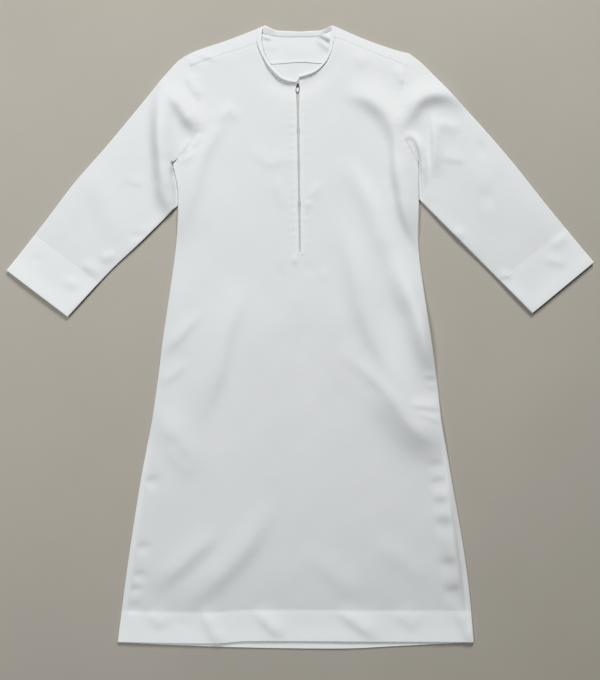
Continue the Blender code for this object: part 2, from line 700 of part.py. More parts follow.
def sleeve_grid(side):
    """(x, down) points of the flat sleeve: rows from body to mouth, columns from its fold to its seam.

    The head runs down the armhole. The seam's edge first follows the armhole's lower stretch to the
    underarm, then lies under the body's side seam, and then runs free to the mouth.
    """
    shoulder = side_points(SHOULDER, side)[-1:]
    seam = np.vstack([shoulder, armhole(side)[::-1]])
    seam = seam + inward(seam, sign(side)) * SEAM_GAP / 2
    head, under = seam[: ARMHOLE_ROWS + 2], seam[ARMHOLE_ROWS + 1 :]
    share = np.linspace(0, 1, TUCK_ROWS + 1)[1:]
    downs = UNDERARM_DOWN + share * (SLEEVE_MEETS_SIDE[side] - TUCK - UNDERARM_DOWN)
    tuck = np.column_stack([side_x(side, downs) - sign(side) * TUCK * share, downs])
    free = np.vstack([tuck[-1:], smooth(side_points(SLEEVE_LOWER, side))[1:]])
    lower = chain(under, np.vstack([under[-1:], tuck]), sleeve_ends(free, 0))
    fold = np.vstack([head[:1], smooth(side_points(SLEEVE_OUTER, side))[1:]])
    length = np.linalg.norm(np.diff(fold, axis=0), axis=1).sum()
    head_stations = np.linspace(0, SLEEVE_HEAD, UNDER_ROWS + 1)
    tuck_stations = np.linspace(SLEEVE_HEAD, SLEEVE_TUCKED, TUCK_ROWS + 1)[1:]
    beside = at_shares(fold, np.append(head_stations, tuck_stations) / length)
    outer = chain(beside, sleeve_ends(fold, SLEEVE_TUCKED))
    mouth = at_shares(np.array([outer[-1], lower[-1]]), shares_of(head))
    return patch(outer, lower, head, mouth, HEAD_EASE)


def make_sleeve(side, material):
    """A flattened tube: one ring for each row, closed at the fold and, below the underarm, at the seam."""
    name = f"sleeve_{side}"
    grid = sleeve_grid(side)
    fold_side = toward(grid[:, 0], grid[:, 1], EDGE_ROUND)[:, None]
    into_sleeve = inward(grid[:, -1], sign(side))
    seam_side = grid[:, -1:] + EDGE_ROUND * into_sleeve[:, None]
    seam_side[:UNDER_ROWS] = grid[:UNDER_ROWS, -1:]
    grid = np.concatenate([grid[:, :1], fold_side, grid[:, 1:-1], seam_side, grid[:, -1:]], axis=1)
    rows, columns = grid.shape[:2]
    thick = np.full(rows, CLOTH)
    thick[-SLEEVE_HEM_LINES:] = HEM_CLOTH
    face, lining = [], []
    for flat, into, wall_here in zip(grid, into_sleeve, thick):
        height = upper(flat[1:-1], name) + 2 * (wall_here - CLOTH)
        edges_in = np.vstack([toward(flat[:1], flat[2:3], wall_here), flat[-1] + into * wall_here])
        for sheet, low, high, edges in (
            (face, 0, height, flat[[0, -1]]),
            (lining, wall_here, height - wall_here, edges_in),
        ):
            sheet += [
                np.append(edges[0], height[0] / 2)[None],
                np.column_stack([flat[1:-1], high]),
                np.append(edges[1], height[-1] / 2)[None],
                np.column_stack([flat[-2:0:-1], np.full(columns - 2, low)]),
            ]
    ring = 2 * columns - 2
    index = np.arange(rows * ring).reshape(rows, ring)
    index = np.concatenate([index, index[:, :1]], axis=1)
    triangles = [
        grid_triangles(index[:, :columns - 1]),
        grid_triangles(index[UNDER_ROWS:, columns - 2 : columns + 1]),
        grid_triangles(index[:, columns:]),
    ]
    return wall(name, np.vstack(face), np.vstack(lining), np.vstack(triangles), material)


def make_binding(seam, material):
    """The folded strip round the neck: from the seam it rises to its crown and falls to the free edge."""
    stations = np.arange(len(seam))
    keys = [row.station for row in BINDING]
    free = np.column_stack(
        [np.interp(stations, keys, [getattr(row, name) for row in BINDING]) for name in ("x", "down", "z")]
    )
    crown = np.interp(stations, keys, [row.crown for row in BINDING])
    across = free - seam
    unit = across / np.linalg.norm(across[:, :2], axis=1)[:, None]
    seam = seam + unit * np.array([SEAM_GAP, SEAM_GAP, 0])
    sections = []
    for share, rise in BINDING_PROFILE:
        point = seam + (free - seam) * share
        point[:, 2] += crown * rise
        sections.append(point)
    outer = np.stack(sections, axis=1)
    turn = np.radians(np.interp(stations, keys, [row.turn for row in BINDING]))
    into = np.column_stack([0 * turn, np.sin(turn), -np.cos(turn)])
    inner = outer + into[:, None] * CLOTH
    rows, columns = outer.shape[:2]
    index = np.arange(rows * columns).reshape(rows, columns)
    return wall(
        "neck_binding", outer.reshape(-1, 3), inner.reshape(-1, 3), grid_triangles(index), material
    )


def slit_rows(front, side):
    """The front's two columns of points beside the slit, from its lower end to the neck."""
    first = HEM_ROWS + 1 + SKIRT_ROWS
    last = first + WAIST_ROWS + len(CHEST_SHARES) - 1
    return front[side][first : last + 1, 0], front[side][first : last + 1, 1]


def make_tape(front, side, material):
    """One zip tape, which follows the underside of the front. Returns its top face."""
    edge, next_column = slit_rows(front, side)
    slope = (next_column - edge) / (next_column - edge)[:, :1]
    centre = centre_x(edge[:, 1])
    columns = []
    for reach in (SEAM_GAP / 2, TAPE_WIDTH):
        across = centre + sign(side) * reach - edge[:, 0]
        columns.append(edge + slope * across[:, None] - [0, 0, CLOTH + TAPE_DROP])
    top = np.stack(columns, axis=1)
    index = np.arange(top.shape[0] * 2).reshape(-1, 2)
    lower = top - [0, 0, TAPE_CLOTH]
    wall(f"zip_tape_{side}", top.reshape(-1, 3), lower.reshape(-1, 3), grid_triangles(index), material)
    return top


def slider_base(tapes):
    """The height of the slider's underside: clear of both tapes along its length."""
    downs = SLIDER_DOWN - np.array([row[0] for row in SLIDER_ROWS])
    tops = [np.interp(downs, tape[::-1, k, 1], tape[::-1, k, 2]) for tape in tapes for k in (0, 1)]
    return np.max(tops) + SEAM_GAP


def zip_place(along, across, height, middle):
    """Points beside a place on the zip: along towards the neck, across to the right, and up."""
    return middle + np.column_stack([across, -along, height + 0 * along])


def make_slider(base, material):
    """The slider's body with the bail over it: a side view with a hole, as wide as its rows say."""
    middle = np.array([centre_x(SLIDER_DOWN), SLIDER_DOWN, base])
    along, half = np.array(SLIDER_ROWS).T
    narrow = np.full(len(along), BAIL_HALF_WIDTH)
    levels = [
        (0, half),
        (SLIDER_HEIGHT, half),
        (SLIDER_HEIGHT + SLIDER_CROWN, narrow),
        (SLIDER_HEIGHT + BAIL_HOLE_TOP, narrow),
        (SLIDER_HEIGHT + BAIL_TOP, narrow),
    ]
    right = np.vstack([zip_place(along, width, level, middle) for level, width in levels])
    left = np.vstack([zip_place(along, -width, level, middle) for level, width in levels])
    index = np.arange(len(right)).reshape(len(levels), len(along))
    bail = index[2:, 1:-1]
    parts = [index[:3], bail[:, :2], bail[:, 2:], bail[1:, 1:3]]
    triangles = np.vstack([grid_triangles(part) for part in parts])
    return wall("zip_slider", right, left, triangles, material, middle)


def make_pull(base, material):
    """The pull tab: a pointed plate with an eye, whose end bar is the pin that turns in the bail."""
    pin_height = base + SLIDER_HEIGHT + (SLIDER_CROWN + BAIL_HOLE_TOP) / 2
    pivot = np.array([centre_x(SLIDER_DOWN), SLIDER_DOWN, pin_height])
    along, half = np.array(PULL_ROWS).T
    eye = np.minimum(PULL_EYE_HALF_WIDTH, half * PULL_EYE_SHARE)
    upper_face, lower_face = (
        np.stack([zip_place(-along, across, height, pivot) for across in (-half, -eye, eye, half)], axis=1)
        for height in (PULL_THICK / 2, -PULL_THICK / 2)
    )
    index = np.arange(len(along) * 4).reshape(-1, 4)
    parts = [index[:, :2], index[:, 2:], index[:2, 1:3], index[2:, 1:3]]
    triangles = np.vstack([grid_triangles(part) for part in parts])
    plate = (upper_face.reshape(-1, 3), lower_face.reshape(-1, 3))
    pull = wall("zip_pull", *plate, triangles, material, pivot)
    pull.rotation_euler.x = radians(PULL_REST_TILT)
    return pull


def clear_scene():
    for thing in list(bpy.data.objects):
        bpy.data.objects.remove(thing, do_unlink=True)


def main():
    clear_scene()
    cloth = {
        name: add_material(f"{name}_cloth", CLOTH_WHITE, 0.8)
        for name in ("front", "back", "yoke", "sleeve_left", "sleeve_right", "neck_binding")
    }
    front = make_front(cloth["front"])
    make_back(cloth["back"])
    neck_edge = make_yoke(front, cloth["yoke"])
    for side in ("left", "right"):
        make_sleeve(side, cloth[f"sleeve_{side}"])
    first_neck_row = len(front["left"]) - 1 - NECK_ROWS
    left = front["left"][first_neck_row:-1, 0]
    right = front["right"][first_neck_row:-1, 0]
    make_binding(np.vstack([left, neck_edge, right[::-1]]), cloth["neck_binding"])
    weave = {side: add_material(f"zip_tape_{side}_weave", TAPE_WHITE, 0.7) for side in ("left", "right")}
    tapes = [make_tape(front, side, weave[side]) for side in ("left", "right")]
    base = slider_base(tapes)
    make_slider(base, add_material("zip_slider_steel", ZIP_STEEL, 0.35, 1.0))
    make_pull(base, add_material("zip_pull_steel", ZIP_STEEL, 0.3, 1.0))


main()
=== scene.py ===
"""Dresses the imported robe: thin cloth with its creases and seams, stitching, zip, light and camera.

Tables give x from the body's centre line, positive to the right, and down from the top of the
shoulders, both in millimetres, as the solids' own tables do. Left and right are the viewer's.
"""

from collections import namedtuple
from math import radians

import bpy
import numpy as np
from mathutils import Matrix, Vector


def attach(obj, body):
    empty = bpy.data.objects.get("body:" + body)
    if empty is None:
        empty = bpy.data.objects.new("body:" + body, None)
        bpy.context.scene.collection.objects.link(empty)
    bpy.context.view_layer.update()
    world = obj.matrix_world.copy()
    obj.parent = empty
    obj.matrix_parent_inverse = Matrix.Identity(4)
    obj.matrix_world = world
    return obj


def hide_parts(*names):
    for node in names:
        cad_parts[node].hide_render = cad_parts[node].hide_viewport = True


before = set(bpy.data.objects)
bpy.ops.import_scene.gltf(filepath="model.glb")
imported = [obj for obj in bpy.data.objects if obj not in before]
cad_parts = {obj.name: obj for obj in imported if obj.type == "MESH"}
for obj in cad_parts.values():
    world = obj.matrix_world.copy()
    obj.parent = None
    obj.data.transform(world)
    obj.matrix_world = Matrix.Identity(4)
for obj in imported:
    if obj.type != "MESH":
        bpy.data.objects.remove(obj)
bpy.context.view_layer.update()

MM = 0.001
BODY_X, TOP_Y = -7.5, 694.5
SIDES = ("left", "right")

# The solids' own measures, in millimetres, which set the lie of the cloth.
UPPER_BASE = 2.8
PUFF, PUFF_REACH = 3.4, 50
HEM_PUFF_SHARE, HEM_PUFF_REACH = 0.35, 160
EDGE_ROUND = 2.0
BODY_HEM, SLEEVE_HEM = 69, 100
TUCK, TUCK_LIFT, TUCK_FLAT, TUCK_FADE = 9, 3.4, 16, 80
SLEEVE_FADE_TOP, SLEEVE_FADE, SLEEVE_FADE_RUN = 2.5, 13, 30
UNDERARM_DOWN = 308
SLEEVE_MEETS_SIDE = {"left": 402, "right": 388}
ZIP_TOP_X, ZIP_END_X, ZIP_END_DOWN = 1.3, 6.7, 505
SLIT_HALF_TOP, SLIT_HALF, SLIT_HALF_END, SLIT_TOP_DOWN, SLIT_TAPER = 3.3, 2.2, 1.4, 145, 45
SLIT_GAPES = [(401, 1.4, 11), (311, 0.8, 9), (236, 0.8, 10)]
WAIST_DOWN_SIDE = 520
BACK_SEAM_RISE, BACK_SEAM_WAVE = 8, 2.0
SEAM_GAP = 0.3

SideRow = namedtuple("SideRow", "down left right")
EdgeRow = namedtuple("EdgeRow", "left_out left_down right_out right_down")
Fold = namedtuple("Fold", "path height lit shaded piece", defaults=("all",))
BindingRow = namedtuple("BindingRow", "station x down z crown turn")
Lamp = namedtuple("Lamp", "name place size power colour")

SIDE = [
    SideRow(308, 277, 270),
    SideRow(330, 272, 271),
    SideRow(360, 266, 271),
    SideRow(402, 265, 272),
    SideRow(501, 271, 272),
    SideRow(621, 288, 288),
    SideRow(710, 301, 301),
    SideRow(779, 309, 311),
    SideRow(883, 324, 323),
    SideRow(946, 336, 334),
    SideRow(1022, 350, 347),
    SideRow(1149, 370, 369),
    SideRow(1257, 385, 384),
    SideRow(1375, 400, 395),
]
HEM_FRONT = [(-400, 1375), (-198, 1378), (-111, 1373), (7, 1373), (163, 1374), (395, 1375)]
HEM_BACK = [(-400, 1375), (-294, 1381), (-112, 1387), (7, 1389), (121, 1389), (219, 1384), (395, 1375)]
ARMHOLE_UNDER = [EdgeRow(277, 308, 270, 308), EdgeRow(251, 283, 255, 283), EdgeRow(218, 240, 228, 240)]
ARMHOLE_FRONT = [
    EdgeRow(218, 240, 228, 240),
    EdgeRow(219, 207, 229, 207),
    EdgeRow(225, 176, 232, 176),
    EdgeRow(230, 140, 237, 140),
    EdgeRow(238, 92, 244, 91),
]
NECK_FRONT = [
    EdgeRow(21, 129, 27, 114),
    EdgeRow(38, 122, 44, 105),
    EdgeRow(55, 107, 57, 93),
    EdgeRow(70, 86, 70, 76),
    EdgeRow(87, 52, 81, 45),
    EdgeRow(89, 40, 83, 29),
]
NECK_AT_ZIP_DOWN = {"left": 131, "right": 120}
YOKE_SEAM = [
    EdgeRow(89, 40, 83, 29),
    EdgeRow(118, 50, 100, 32),
    EdgeRow(140, 57, 133, 46),
    EdgeRow(173, 68, 162, 58),
    EdgeRow(238, 92, 244, 91),
]
SHOULDER = [
    EdgeRow(90, 8, 87, 3),
    EdgeRow(155, 33, 152, 31),
    EdgeRow(223, 56, 214, 53),
    EdgeRow(252, 70, 252, 63),
]
NECK_BACK = [(-77, 18), (-60, 23), (-26, 26), (7, 26), (41, 25), (63, 19), (77, 11)]
SLEEVE_OUTER = [
    EdgeRow(252, 70, 252, 63),
    EdgeRow(283, 98, 293, 98),
    EdgeRow(414, 256, 395, 206),
    EdgeRow(496, 350, 477, 300),
    EdgeRow(559, 433, 560, 404),
    EdgeRow(647, 546, 662, 528),
]
SLEEVE_LOWER = [
    EdgeRow(265, 402, 272, 388),
    EdgeRow(349, 485, 346, 463),
    EdgeRow(416, 548, 430, 547),
    EdgeRow(510, 650, 524, 642),
]

# Folds, as in the solids: a ridge, or a trough where the height is negative, along a path. lit is
# the half width on the path's left hand and shaded on its right hand. piece is the one that has it.
FOLDS = [
    Fold([(90, 148), (150, 162), (179, 180), (203, 207), (219, 247), (228, 300)], 10.5, 30, 20),
    Fold([(200, 200), (216, 250), (222, 330), (229, 367),
          (234, 401), (243, 434), (259, 470), (290, 520)], 12.5, 36, 11),
    Fold([(92, 280), (141, 354), (163, 401), (192, 479), (212, 523), (240, 590)], 7, 20, 26),
    Fold([(92, 400), (112, 479), (125, 523), (145, 612),
          (156, 652), (185, 719), (226, 780), (296, 842)], 10.5, 46, 25),
    Fold([(206, 490), (230, 560), (249, 605), (264, 642),
          (275, 688), (286, 735), (305, 812)], 17.5, 27, 29),
    Fold([(84, 706), (118, 741), (152, 768), (185, 797), (219, 838), (257, 893), (330, 948)], 4.4, 58, 15),
    Fold([(130, 745), (185, 795), (221, 850), (264, 898), (350, 948), (380, 962)], 14.5, 54, 43),
    Fold([(-335, 1268), (-250, 1196), (-160, 1112)], 4.8, 28, 18),
    Fold([(-275, 1322), (-192, 1245), (-122, 1172), (-77, 1096), (-49, 1026)], 6.2, 36, 23),
    Fold([(-240, 912), (-202, 842), (-189, 810), (-174, 765),
          (-163, 710), (-151, 665), (-110, 556)], 6.5, 48, 19),
    Fold([(-318, 836), (-290, 885), (-270, 922), (-252, 965), (-224, 1024)], 5, 38, 26),
    Fold([(-264, 500), (-254, 445), (-234, 375), (-225, 342),
          (-212, 297), (-196, 264), (-142, 168)], 6, 32, 17),
    Fold([(7, 1158), (78, 1218), (123, 1258), (176, 1290)], 2.4, 34, 24),
    Fold([(154, 1138), (232, 1192), (315, 1249)], 1.8, 30, 24),
    Fold([(-98, 60), (-73, 104), (-37, 135), (7, 138), (49, 115), (83, 82), (96, 44)], -2.5, 16, 18),
    Fold([(-292, 130), (-264, 173), (-241, 208), (-219, 230), (-204, 244)], 13, 26, 18),
    Fold([(-292, 84), (-301, 160), (-304, 245), (-300, 300),
          (-296, 345), (-291, 384), (-256, 470)], 19.5, 28, 18, "sleeve_left"),
    Fold([(214, 240), (248, 202), (268, 171), (301, 156), (341, 160), (386, 190)], 12.5, 26, 19),
    Fold([(300, 350), (304, 300), (304, 250), (301, 185)], 6.5, 5.5, 18, "sleeve_right"),
    Fold([(168, 367), (234, 590), (310, 880)], 3, 70, 60),
    Fold([(63, 560), (85, 712), (152, 830)], 2.5, 60, 40),
    Fold([(-240, 520), (-262, 640), (-270, 780)], 3, 30, 26),
    Fold([(-60, 560), (-80, 700), (-60, 840)], 2, 60, 46),
    Fold([(4, 530), (-6, 620), (-14, 740)], 1.6, 30, 20),
]
FOLD_END_SHARE = 0.4

# The finer creases, which the thin cloth has over and above the solids' folds.
CREASES = [
    Fold([(256, 600), (267, 650), (280, 700), (292, 748), (306, 792)], 4.8, 24, 15),
    Fold([(286, 984), (332, 975)], -1.8, 9, 20),
    Fold([(292, 1024), (338, 1014)], -3.0, 11, 20),
    Fold([(298, 1070), (344, 1058)], -3.2, 12, 22),
    Fold([(304, 1118), (351, 1106)], -3.8, 15, 24),
    Fold([(314, 1207), (362, 1194)], -3.8, 14, 24),
    Fold([(322, 1268), (370, 1255)], -3.4, 13, 22),
    Fold([(-340, 1026), (-306, 1006)], -2.6, 9, 14),
    Fold([(-360, 1171), (-324, 1155)], -2.4, 9, 14),
    Fold([(-369, 1232), (-333, 1218)], -2.6, 8, 13),
    Fold([(-376, 1263), (-342, 1252)], -2.4, 8, 9),
    Fold([(-381, 1304), (-345, 1292)], -2.4, 10, 10),
    Fold([(-212, 1288), (-196, 1336), (-164, 1396)], 4.6, 20, 9),
    Fold([(-98, 1294), (-66, 1334), (-24, 1370)], 4.2, 22, 9),
    Fold([(84, 1294), (130, 1332), (190, 1374)], 4.4, 28, 10),
    Fold([(352, 1284), (370, 1330), (392, 1390)], 4.6, 18, 10),
    Fold([(-330, 1300), (-296, 1350)], 2.6, 24, 11),
    Fold([(216, 1298), (270, 1352)], 2.6, 30, 12),
    Fold([(246, 842), (279, 849), (326, 856)], 3.4, 18, 5),
    Fold([(258, 854), (285, 868), (324, 888)], 2.2, 12, 6),
    Fold([(276, 780), (312, 784)], 1.3, 10, 4.5),
    Fold([(282, 803), (316, 807)], 1.0, 9, 4.5),
    Fold([(320, 920), (335, 1060), (352, 1200), (368, 1350)], 12, 13, 22),
    Fold([(-312, 744), (-256, 690), (-205, 630)], 2.6, 18, 9),
    Fold([(-312, 806), (-270, 774), (-236, 744)], 2.2, 18, 10),
    Fold([(-290, 905), (-262, 950), (-235, 990)], -1.6, 10, 12),
    Fold([(-178, 226), (-165, 206), (-152, 190), (-141, 202), (-128, 222)], 2.4, 15, 10),
    Fold([(-122, 262), (-66, 306), (-35, 303), (20, 311)], 1.3, 22, 10),
    Fold([(-52, 330), (-40, 374), (-26, 421)], 1.6, 12, 8),
    Fold([(24, 392), (52, 345)], 1.6, 8, 12),
    Fold([(14, 402), (38, 396)], 1.6, 9, 9),
    Fold([(-15, 522), (7, 522)], 1.8, 10, 10),
    Fold([(-55, 554), (-24, 550)], -0.8, 14, 14),
    Fold([(14, 543), (41, 541)], -0.8, 14, 14),
    Fold([(43, 559), (74, 554)], 0.8, 14, 14),
    Fold([(-265, 1341), (-247, 1330)], -1.0, 9, 9),
    Fold([(-246, 60), (-204, 70), (-162, 78)], 2.0, 9, 7),
    Fold([(-247, 86), (-211, 78)], 2.4, 14, 12),
    Fold([(222, 86), (236, 140)], 2.4, 12, 10),
    Fold([(120, 60), (160, 96)], 1.6, 16, 12),
    Fold([(-246, 96), (-236, 128), (-214, 172)], 4.4, 14, 10),
    Fold([(-290, 120), (-318, 134)], 1.6, 14, 14, "sleeve_left"),
    Fold([(-392, 343), (-360, 352), (-329, 356)], 1.0, 16, 5, "sleeve_left"),
    Fold([(-378, 474), (-332, 465)], -1.6, 7, 9, "sleeve_left"),
    Fold([(-483, 525), (-434, 563)], 2.6, 14, 9, "sleeve_left"),
    Fold([(-440, 526), (-400, 508)], 2.4, 12, 9, "sleeve_left"),
    Fold([(-592, 514), (-568, 530)], -1.2, 8, 8, "sleeve_left"),
    Fold([(-530, 565), (-474, 588)], 1.8, 12, 7, "sleeve_left"),
    Fold([(-470, 300), (-420, 420), (-410, 520)], 2.2, 34, 26, "sleeve_left"),
    Fold([(-258, 292), (-249, 270), (-240, 250)], 2.0, 4, 8),
    Fold([(-234, 278), (-224, 258), (-214, 238)], 1.7, 4, 8),
    Fold([(-256, 310), (-240, 294), (-224, 278)], 1.8, 4, 8),
    Fold([(228, 262), (240, 253), (252, 249), (264, 257),
          (273, 278), (278, 300), (280, 330), (276, 380)], 7, 10, 5.5, "sleeve_right"),
    Fold([(300, 228), (330, 222), (370, 236)], 2.6, 12, 16, "sleeve_right"),
    Fold([(310, 296), (345, 300), (386, 306)], 1.6, 18, 5, "sleeve_right"),
    Fold([(399, 389), (444, 378)], -1.8, 20, 20, "sleeve_right"),
    Fold([(399, 283), (426, 274)], -1.6, 20, 20, "sleeve_right"),
    Fold([(360, 260), (410, 360), (440, 470)], 2.2, 30, 24, "sleeve_right"),
    Fold([(564, 499), (609, 465)], 1.8, 12, 7, "sleeve_right"),
    Fold([(540, 520), (575, 528), (611, 534)], 1.8, 14, 7, "sleeve_right"),
    Fold([(446, 560), (484, 556)], 2.0, 10, 7, "sleeve_right"),
    Fold([(352, 452), (372, 478)], 1.4, 10, 9, "sleeve_right"),
]

# Folds of the yoke where it shows through the neck, from the band down to the shoulder.
NECK_FOLDS = [
    Fold([(38, 14), (50, 19), (64, 26), (90, 40)], 7, 9, 6.5, "neck_back"),
    Fold([(40, 22), (56, 38), (70, 50), (84, 62)], 3, 6, 8, "neck_back"),
    Fold([(-80, 22), (-66, 27), (-52, 30)], 3, 6, 5, "neck_back"),
    Fold([(-78, 40), (-60, 46), (-46, 60)], 1.4, 14, 10, "neck_back"),
    Fold([(-40, 60), (10, 52), (50, 66)], 0.8, 20, 18, "neck_back"),
]

# Low creases of the cloth underneath, which lift it off what it lies on.
UNDER_CREASES = [
    Fold([(-180, 330), (-90, 420), (-20, 540), (10, 700)], 1.3, 14, 12, "back"),
    Fold([(200, 400), (120, 520), (80, 680), (60, 860)], 1.2, 12, 15, "back"),
    Fold([(-240, 700), (-160, 860), (-120, 1040)], 1.3, 15, 12, "back"),
    Fold([(300, 930), (200, 1060), (140, 1240)], 1.2, 13, 16, "back"),
    Fold([(-320, 1180), (-200, 1120), (-60, 1150)], 1.1, 14, 12, "back"),
    Fold([(-140, 160), (-60, 240), (60, 250), (150, 180)], 1.0, 16, 12, "back"),
    Fold([(-290, 190), (-350, 300), (-380, 420)], 1.1, 11, 13, "sleeve_left"),
    Fold([(-430, 330), (-460, 420), (-450, 500)], 1.0, 12, 10, "sleeve_left"),
    Fold([(300, 170), (350, 280), (390, 410)], 1.1, 13, 11, "sleeve_right"),
    Fold([(430, 320), (470, 400), (470, 490)], 1.0, 10, 12, "sleeve_right"),
]

# The free edge of the neck binding's outer face at stations round the neck, and how high its
# middle stands. turn is 0 where that face looks up, 90 on the folded shoulder, 180 at the back.
BINDING = [
    BindingRow(0, -2.0, 124, 7.6, 3.8, 0),
    BindingRow(2, -30, 115, 7.8, 4.8, 0),
    BindingRow(4, -59.5, 87, 7.8, 4.4, 0),
    BindingRow(5, -72.5, 65, 7.2, 2.8, 0),
    BindingRow(7, -79.5, 38, 6.6, 1.4, 0),
    BindingRow(8, -79, 23, 6.6, 1.0, 0),
    BindingRow(9, -76, 6, 5.6, 0.5, 20),
    BindingRow(10, -72, 0, 1.6, 0, 90),
    BindingRow(11, -66, 2.6, 4.2, 0, 180),
    BindingRow(12, -56, 7.6, 4.0, 0, 180),
    BindingRow(13, -43, 11, 1.6, 0, 180),
    BindingRow(15, 7, 13.5, 1.8, 0, 180),
    BindingRow(17, 50, 11, 1.6, 0, 180),
    BindingRow(18, 64, 7.6, 4.2, 0, 180),
    BindingRow(19, 73, 2.8, 4.4, 0, 180),
    BindingRow(20, 79, 0, 1.6, 0, 90),
    BindingRow(21, 79, 6, 5.8, 0.4, 20),
    BindingRow(22, 74, 19, 6.6, 0.8, 0),
    BindingRow(23, 74, 31, 6.8, 1.0, 0),
    BindingRow(25, 69, 62, 7.0, 1.8, 0),
    BindingRow(27, 53, 90, 7.6, 3.6, 0),
    BindingRow(28, 38, 101, 7.8, 4.2, 0),
    BindingRow(30, 4.6, 111, 7.8, 3.8, 0),
]
BINDING_THICK = 1.5
NECK_CELLS_CAD, NECK_BACK_CELLS_CAD = 7, 8

# The thin cloth itself, in millimetres.
CLOTH = 0.45
HEM_THICK = 1.0
HEM_RISE, HEM_STEP = 0.5, (-2, 4)
SEAM_DROP, SOFT_SEAM_DROP, SEAM_DROP_WIDTH = 0.9, 0.45, 2.2
STITCH_DROP, HEM_STITCH_DROP, STITCH_DROP_WIDTH = 0.35, 0.2, 1.1
SIDE_ROUND = 3.0
SIDE_MEETS = 1.9
SIDE_SEAM_IN, SIDE_SEAM_FROM, SIDE_SEAM_FADE = 12.5, 900, 80
SIDE_SEAM_RISE, SIDE_SEAM_DROP, SIDE_SEAM_WIDTH, SIDE_SEAM_STEP = 0.35, 0.6, 1.5, 2
SEAM_ALLOWANCE = (11, 14)
EDGE_DROP, HEM_ROUND, BACK_SIDE_RISE, BACK_HEM_RISE = 0.9, 1.6, 0.75, 0.35
PUCKER_RISE, PUCKER_PITCH, PUCKER_REACH = 0.5, 15, 7
FACING, FACING_RISE, FACING_FADE, FACING_BELOW = 9.5, 0.5, (5, 9), 8
LADDER_PITCH, LADDER_RISE, LADDER_OUT, LADDER_REACH = 16.5, 0.42, 15, 7
EDGE_LIFT, EDGE_LIFT_REACH = 3.8, 22
MOUTH_LIFT, MOUTH_LIFT_REACH = 3.0, 26
LIFT_CLEARS, LIFT_UNDER = (8, 50), 0.8
MOUTH_ROUND, MOUTH_DROP, MOUTH_RISE, SLEEVE_ROUND = 1.4, 0.6, 0.3, 2.4
SOFT_FLOOR = 0.6
HEM_LIFT, HEM_LIFT_REACH = 1.3, 22
YOKE_THICK, YOKE_STEP, YOKE_STEP_REACH = 0.7, 0.7, 5

# How much of a second layer shows through where there is no hem, from 0 for none to 1 for a hem's.
SEAM_LAYERS, FACING_LAYERS, YOKE_LAYERS, BINDING_LAYERS, SLEEVE_HEM_LAYERS = 0.35, 0.15, 0.15, 0.25, 0.35

# The pull tab's pin in the model's own millimetres, and the dome on its plate, measured from the pin.
PULL_PIN, PULL_LEAN, PULL_TOP = (-6.004, 560.5, 7.379), 5, 0.3
PULL_DOME, PULL_DOME_HALF, PULL_DOME_FROM, PULL_DOME_TO = 1.3, 3.2, 5.4, 17.0

# Stitches, the zip's coil and its tapes, in millimetres.
STITCH_PITCH, STITCH_LENGTH, STITCH_WIDE, STITCH_LIFT = 3.4, 2.7, 0.5, 0.12
STITCH_IN, TACK_PITCH, TACK_BELOW, HEM_ROW = 3, 1.2, 6.0, (-390, 386)
ZIP_ROW_BELOW_NECK, ZIP_ROW_PAST_END = 4, 5
TOOTH_PITCH, TOOTH_LENGTH, TOOTH_WIDE, TOOTH_OUT, TOOTH_LIFT = 1.5, 3.2, 1.3, 1.0, 1.35
COIL_BELOW_NECK, COIL_ABOVE_END = 8, 2
TAPE_COLUMNS, TAPE_STEP, TAPE_THICK, TAPE_UNDER, TAPE_DROP = (0.3, 2.5, 5, 7.5, 10.2), 6, 0.5, 1.4, 0.15

# Cloth and floor, light and view. Lamps and the view are in the model's own metres.
WEAVE_PITCH = 1.3
FLOOR_HALF, FLOOR_Z = 6.0, -0.0004
WORLD_COLOUR, WORLD_STRENGTH = (1.0, 0.99, 0.97, 1), 0.1
LAMPS = [
    Lamp("window", (0.95, 4.34, 2.7), 1.5, 232, (1, 0.985, 0.965)),
    Lamp("overhead", (-1.3, 0.3, 2.8), 1.4, 44, (0.985, 0.99, 1)),
]
LENS, SENSOR = 50, 36
VIEW_MIDDLE, VIEW_LEVEL, VIEW_ROWS, MM_PER_PIXEL = (-0.0007, -0.0067), 0.004, 680, 2.228

# Grids: close stations in millimetres from an edge, and how many even cells lie between them.
CENTRE_COLUMNS = [0, 0.5, 1.2, 2.2, 3.6, 5.6, 7.6, 9, 10.4, 12]
SIDE_COLUMNS = [0, 0.25, 0.7, 1.3, 2, 3, 4.5, 6, 6.8, 7.4, 8, 8.6, 9.4, 11, 14, 18]
CHEST_HALF = 225
COLUMN_STEP = 4.8
HEM_STATIONS = [
    0, 0.4, 1, 1.8, 3, 5, 9, 14, 20, 27, 34, 41, 48, 54, 59, 63, 65,
    66.2, 67.4, 68.4, 69.4, 70.4, 71.6, 73, 76, 80,
]
TOP_STATIONS = [0, 0.5, 1.2, 2.2, 3.6, 5.5]
SKIRT_CELLS, WAIST_CELLS, CHEST_CELLS, NECK_CELLS = 148, 38, 37, 29
BACK_STEP = 9
BACK_SKIRT_CELLS, BACK_WAIST_CELLS = 84, 48
YOKE_ROWS = np.array([0, 0.02, 0.05, 0.09, 0.13, *np.linspace(0.17, 1, 24)[:-1]])
YOKE_CLOSE = np.array([0.25, 0.7, 1.4, 2.4, 4])
YOKE_NECK_CELLS, YOKE_OVER_CELLS, YOKE_SEAM_STATIONS = 60, 6, [0, 0.5, 1.2, 2.4]
SLEEVE_COLUMN_STEP = 4.4
EDGE_COLUMNS = [0, 0.25, 0.7, 1.4, 2.4, 4]
SLEEVE_HEAD, SLEEVE_TUCKED, HEAD_EASE, NO_EDGE = 185, 266, 0.5, 99
HEAD_CELLS, TUCK_CELLS, ARM_CELLS = 30, 16, 50
